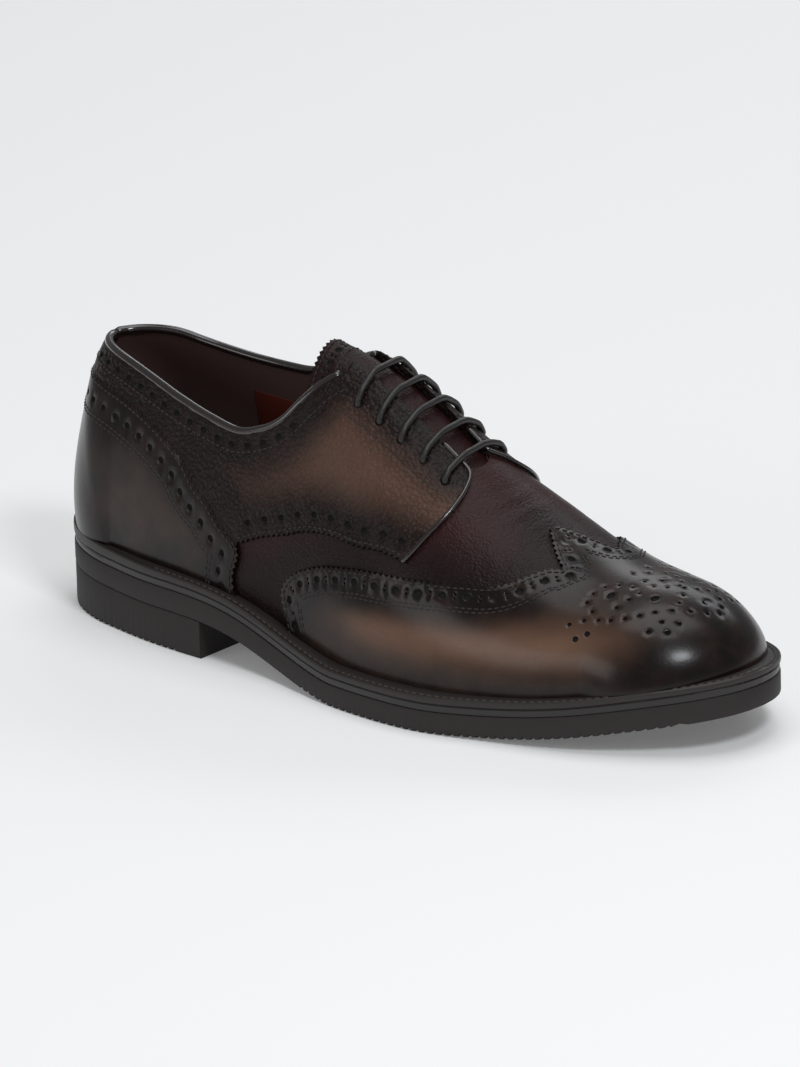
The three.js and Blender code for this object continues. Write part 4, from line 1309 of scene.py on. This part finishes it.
# Waxed polyester thread in the colour of the leather.
thread = plain("thread", "#271e1b", 0.6)
TONGUE_SEAMS = (2.4, 9.5)
STITCH_RISE = 0.02
COUNTER_SEAMS = (1.9, 12.0, 13.4)
WING_SEAMS = (1.9, 9.0, 10.4)
raised = seam(
    [beside(counter_edge, setback) for setback in COUNTER_SEAMS], -OVERLAY_RAISE - STITCH_RISE
)
capped = seam(
    [beside(wing_edge, -setback) for setback in WING_SEAMS], -CAP_RAISE - STITCH_RISE,
    shrunk(wing_loop, wing_edge, 1.0),
)
quarter_run = seam(quarter_seams, -STITCH_RISE)
tongue_run = seam(
    [beside(tongue_edge, -setback) for setback in TONGUE_SEAMS], TONGUE_DEPTH - STITCH_RISE
)
stitches = make_stitches(
    "upper_stitching", *joined((raised, capped, quarter_run, tongue_run)), STITCH * 0.78, THREAD,
    thread,
)


# Lace: a round waxed cotton lace in straight bars over the facings. It comes up and goes down
# through the eyelets, runs along behind the facings and ends behind the top eyelets.
LACE_DIAMETER = 2.6
lace_lift = LACE_DIAMETER / 2 + SEAM_GAP
BEHIND = TONGUE_DEPTH + 0.6
BAR_BOW = 0.4


def bar_points(share, start_side):
    """Up through one eyelet, straight over both facings and down through the other."""
    outs = np.linspace(EYELET_OUT, -EYELET_OUT, 15)
    rows = [(share, (facing_middle + start_side * out) / BALL_WIDTH) for out in outs]
    over = last_point(top_uv(rows), -lace_lift)
    inner = np.abs(outs) < facing_half
    ends = [over[~inner & (outs < 0)][0][2], over[~inner & (outs > 0)][-1][2]]
    chord = np.interp(outs[inner], [-facing_half, facing_half], ends)
    over[inner, 2] = chord + BAR_BOW
    over[[0, -1]] = last_point(top_uv([rows[0], rows[-1]]), -0.2)
    down = [
        last_point(top_uv([row]), depth)[0]
        for row in (rows[0], rows[-1]) for depth in (OVERLAY_DEPTH, BEHIND - 0.6)
    ]
    return [down[1], down[0], *over, down[2], down[3]]


def behind_facing(side, start, end):
    """Along behind a facing, from one eyelet to another."""
    share = (facing_middle + side * EYELET_OUT) / BALL_WIDTH
    rows = [(at, share) for at in np.linspace(start, end, 5)[1:-1]]
    return list(last_point(top_uv(rows), BEHIND))


def smooth_space(points, pieces=5):
    """A smooth line in space through rough points."""
    points = np.asarray(points)
    ends = np.concatenate([[2 * points[0] - points[1]], points, [2 * points[-1] - points[-2]]])
    out = []
    for i in range(1, len(ends) - 2):
        p0, p1, p2, p3 = ends[i - 1 : i + 3]
        for t in np.linspace(0, 1, pieces, endpoint=False):
            square = (2 * p0 - 5 * p1 + 4 * p2 - p3) * t**2
            cube = (3 * p1 - p0 - 3 * p2 + p3) * t**3
            out.append(0.5 * (2 * p1 + (p2 - p0) * t + square + cube))
    return np.array(out + [points[-1]])


# Waxed round cotton lace: its braid shows as a fine relief.
cord = plain("cord", "#1d1816", 0.42, 0.15, 1800, 0.5)
strand_a = (
    behind_facing(1, eyelets[2], eyelets[4])[-1:] + bar_points(eyelets[4], 1)
    + behind_facing(-1, eyelets[4], eyelets[3]) + bar_points(eyelets[3], -1)
    + behind_facing(1, eyelets[3], eyelets[1]) + bar_points(eyelets[1], 1)
    + behind_facing(-1, eyelets[1], eyelets[0])
)
lace_radius = LACE_DIAMETER / 2 - 0.05
lace_a = make_tube("lace_first", smooth_space(strand_a), lace_radius, cord, 12)
top_end = top_uv([(eyelets[0] - 0.015, (facing_middle + EYELET_OUT) / BALL_WIDTH)])
strand_b = (
    behind_facing(1, eyelets[4], eyelets[2]) + bar_points(eyelets[2], 1)
    + behind_facing(-1, eyelets[2], eyelets[0]) + bar_points(eyelets[0], -1)
    + list(last_point(top_end, BEHIND))
)
lace_b = make_tube("lace_second", smooth_space(strand_b), lace_radius, cord, 12)
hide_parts("lace_bar_2", "lace_bar_4", "lace_bar_5")
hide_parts("lace_bar_1", "lace_bar_3")


# Inner patch: a plain thin leather patch glued on the medial lining below the collar. It carries
# nothing.

# Thin dyed lining leather, rust red and matt.
patch_leather = plain("patch_leather", "#65291d", 0.5)
PATCH_THICKNESS = 0.5
PATCH = ((0.2, 0.3), (0.2, 0.53), (0.34, 0.54), (0.34, 0.3))
patch_corners = np.concatenate([side_uv(PATCH, 1), side_uv(PATCH[:1], 1)])
patch_loop = spaced(patch_corners, 3)[:-1]
patch = make_panel(
    "inner_patch", patch_loop, [patch_leather], INSIDE_DEPTH + PATCH_THICKNESS,
    0.05 - PATCH_THICKNESS, 3, soft=0, inward=True,
)


# Outsole: one moulded slab of rubber, with a toe spring, a flat ball and an arch. Fine ribs cross
# the tread, and their ends show as teeth at its lower edge.
def sole_stations(inset, ends=26, body=110, grooves=()):
    """Stations along the sole, closer together at its round ends."""
    heel = HEEL_ROUND * LENGTH
    toe = LENGTH * (1 - TOE_ROUND)
    first = inset + (heel - inset) * (1 - np.cos(np.linspace(0, math.pi / 2, ends)))
    last = toe + (LENGTH - inset - toe) * np.sin(np.linspace(0, math.pi / 2, ends))
    return np.unique(np.round(np.concatenate([first, np.linspace(heel, toe, body), last, grooves]), 4))


def make_layer(name, profile, material, stop=None, grooves=()):
    """A layer of the sole from a profile of (inset, height over x) up its side, closed at the bottom
    and the top. stop cuts it off straight at that x."""
    stations = sole_stations(0, grooves=grooves)
    if stop:
        stations = np.append(stations[stations < stop], stop)
    rings, sides = [], []
    for inset, height in profile:
        x = np.clip(stations, inset, LENGTH - inset)
        lateral, medial = sole_edges(x, inset)
        left = np.stack([x, lateral, height(x)], axis=1)
        right = np.stack([x, medial, height(x)], axis=1)
        sides.append((left, right))
        back = right[::-1] if stop else right[-2::-1]
        rings.append(np.concatenate([left, back])[:-1])
    size = len(rings[0])
    vertices, faces = list(rings), []
    for i in range(len(rings) - 1):
        for k in range(size):
            a, b = i * size + k, i * size + (k + 1) % size
            faces.append((a, b, b + size, a + size))
    first, count = len(rings) * size, len(stations)
    for (left, right), turned in ((sides[0], True), (sides[-1], False)):
        vertices += [left, right]
        for k in range(count - 1):
            quad = (first + k, first + k + 1, first + count + k + 1, first + count + k)
            faces.append(quad[::-1] if turned else quad)
        first += 2 * count
    piece = make_object(name, np.concatenate(vertices), faces, [material])
    piece.data.set_sharp_from_angle(angle=math.radians(38))
    return piece


RIB = 3.4
RIB_SLOPE = 0.3


def rib_stations(span):
    """Where the foot and the top of each rib begin and end."""
    start, end = span[0] * LENGTH, span[1] * LENGTH
    marks = []
    for i in range(int((end - start) / RIB)):
        foot = start + i * RIB
        marks += [foot, foot + RIB_SLOPE, foot + RIB / 2, foot + RIB / 2 + RIB_SLOPE]
    return tuple(marks)


RIB_DEPTH = 0.8


def ribbed(x, span):
    """How far the tread is cut back between its ribs."""
    inside = (x > span[0] * LENGTH) & (x < span[1] * LENGTH)
    phase = np.mod(x - span[0] * LENGTH, RIB)
    up = np.clip(phase / RIB_SLOPE, 0, 1) - np.clip((phase - RIB / 2) / RIB_SLOPE, 0, 1)
    return np.where(inside, RIB_DEPTH * up, 0.0)


# Moulded rubber with a fine matt skin: a dull charcoal brown.
rubber = plain("rubber", "#221d1b", 0.66, 0.0, 1400, 0.2)
TREAD = (0.46, 0.955)
tread_marks = rib_stations(TREAD)
outsole = make_layer(
    "outsole_rubber",
    [
        (0.9, lambda x: underside(x) + ribbed(x, TREAD)),
        (0.3, lambda x: underside(x) + 0.35 + 0.8 * ribbed(x, TREAD)),
        (0.2, lambda x: underside(x) + 1.15),
        (0.2, lambda x: outsole_top(x) - 0.5),
        (0.5, lambda x: outsole_top(x)),
    ],
    rubber, grooves=tread_marks,
)
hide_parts("outsole")


# Midsole: a thin layer of stacked leather between welt and outsole. Its inked edge is trimmed a
# little behind theirs.

# Leather edge, inked and ironed: an even near-black with a slight gloss.
edge_leather = plain("edge_leather", "#1e1919", 0.5, 0.15)
midsole = make_layer(
    "midsole_edge",
    [
        (0.9, lambda x: outsole_top(x) - 0.02),
        (0.5, lambda x: outsole_top(x) + 0.5),
        (0.5, lambda x: midsole_top(x) - 0.4),
        (0.9, lambda x: midsole_top(x) + 0.1),
    ],
    edge_leather,
)
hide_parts("midsole")


# Welt: a strip of leather sewn round the lasted upper. It stands out past it as a rim with rounded
# edges, a stitching groove, and a raised seat at the heel.

# Welt leather, inked: a little browner and duller than the edge below it.
welt_leather = plain("welt_leather", "#221b19", 0.55, 0.1)
WELT_GROOVE = 2.2
welt = make_layer(
    "welt_strip",
    [
        (0.8, lambda x: midsole_top(x) + 0.05),
        (0.1, lambda x: midsole_top(x) + 0.6),
        (0.0, lambda x: (midsole_top(x) + sole_top(x)) / 2 + 0.1),
        (0.15, lambda x: sole_top(x) - 0.5),
        (0.7, lambda x: sole_top(x) - 0.03),
        (1.4, lambda x: sole_top(x) - 0.22),
        (WELT_GROOVE, lambda x: sole_top(x) - 0.4),
        (3.0, lambda x: sole_top(x) - 0.2),
        (4.0, lambda x: sole_top(x)),
        (6.5, lambda x: sole_top(x)),
        (12.0, lambda x: sole_top(x) - 0.3),
    ],
    welt_leather,
)
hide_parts("welt")


# Heel: one moulded rubber block under the outsole, cut off straight at its breast, with the same
# ribs on its tread.
HEEL_TREAD = (0.05, 0.25)
heel_marks = rib_stations(HEEL_TREAD)
heel = make_layer(
    "heel_block",
    [
        (0.9, lambda x: ribbed(x, HEEL_TREAD)),
        (0.4, lambda x: 0.35 + 0.8 * ribbed(x, HEEL_TREAD)),
        (0.3, lambda x: 0 * x + 1.15),
        (0.3, lambda x: underside(x) - 0.45),
        (0.6, lambda x: underside(x) - 0.02),
    ],
    rubber, stop=HEEL_LENGTH, grooves=heel_marks,
)
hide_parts("heel")


# Welt stitching: one row of thick waxed thread along the rim of the welt, from the breast of the
# heel round the toe and back. It lies in the groove and holds the welt to the soles.
WELT_STITCH = 3.1
FIRST_WELT_STITCH = 1.5


def welt_stitching():
    """Places, runs and normals of the stitches in the welt's groove."""
    x = sole_stations(WELT_GROOVE)
    x = x[x > LENGTH * 0.2]
    lateral, medial = sole_edges(x, WELT_GROOVE)
    z = sole_top(x) - 0.3
    out = np.stack([x, lateral, z], axis=1)
    back = np.stack([x, medial, z], axis=1)[::-1]
    line = np.concatenate([out, back])
    run = np.concatenate([[0], np.cumsum(np.linalg.norm(np.diff(line, axis=0), axis=1))])
    at = np.arange(FIRST_WELT_STITCH, run[-1], WELT_STITCH)
    points = np.stack([np.interp(at, run, line[:, k]) for k in range(3)], axis=1)
    runs = np.gradient(points, axis=0)
    normals = np.tile([0.0, 0.0, 1.0], (len(points), 1))
    normals -= runs * ((normals * runs).sum(1) / (runs * runs).sum(1))[:, None]
    normals /= np.linalg.norm(normals, axis=1)[:, None]
    return points, runs, normals


# Thicker waxed thread, a shade lighter than the welt.
welt_thread = plain("welt_thread", "#3f3834", 0.6)
WELT_STITCH_LENGTH = 2.5
WELT_THREAD = 0.42
rim_stitches = make_stitches(
    "welt_stitching", *welt_stitching(), WELT_STITCH_LENGTH, WELT_THREAD, welt_thread
)


# Insole: a leather insole under the foot, covered by a glued sock of lining calf. It stays the
# solid that the part brings, with its own finish.
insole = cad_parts["insole"]
insole.data.materials.clear()

# Lining calf glued over the insole: matt, a shade browner than the sides.
sock_leather = plain("sock_leather", "#2c1e19", 0.6)
insole.data.materials.append(sock_leather)


# Floor and light: a plain pale sweep, a large soft light overhead, a small bright one that puts
# the gloss on the toe, and two weak ones for the side and the far edge.
FLOOR_COLOUR = "#f3f3f3"


def make_floor():
    """A plane that is staging and no piece of the shoe."""
    mesh = bpy.data.meshes.new("floor")
    reach = 6
    corners = [(-reach, -reach, 0), (reach, -reach, 0), (reach, reach, 0), (-reach, reach, 0)]
    mesh.from_pydata(corners, [], [(0, 1, 2, 3)])
    floor = bpy.data.objects.new("floor", mesh)
    bpy.context.scene.collection.objects.link(floor)
    material, _, base = new_material("floor")
    base.inputs["Base Color"].default_value = (*linear(FLOOR_COLOUR), 1)
    base.inputs["Roughness"].default_value = 0.9
    base.inputs["Specular IOR Level"].default_value = 0.0
    base.inputs["Emission Color"].default_value = (*linear(FLOOR_COLOUR), 1)
    base.inputs["Emission Strength"].default_value = 0.14
    mesh.materials.append(material)


make_floor()


def make_light(name, place, size, power, colour="#ffffff"):
    data = bpy.data.lights.new(name, "AREA")
    data.shape = "RECTANGLE"
    data.size, data.size_y = size
    data.energy = power
    data.color = linear(colour)
    lamp = bpy.data.objects.new(name, data)
    bpy.context.scene.collection.objects.link(lamp)
    lamp.location = place
    lamp.rotation_mode = "QUATERNION"
    lamp.rotation_quaternion = (AIM - Vector(place)).to_track_quat("-Z", "Y")


make_light("key", (1.25, -0.55, 1.35), (0.42, 0.32), 10, "#f9fdff")
make_light("top", (0.1, 0.2, 2.4), (1.7, 1.7), 21)
make_light("side", (-0.7, -1.9, 0.8), (1.2, 0.7), 5)
make_light("rim", (-0.4, 1.5, 1.2), (1.6, 0.5), 6, "#f8fcff")
world = bpy.data.worlds.new("studio")
world.use_nodes = True
world.node_tree.nodes["Background"].inputs["Color"].default_value = (*linear("#fbfcff"), 1)
world.node_tree.nodes["Background"].inputs["Strength"].default_value = 0.22
bpy.context.scene.world = world
bpy.context.scene.view_settings.view_transform = "Standard"
bpy.context.view_layer.update()
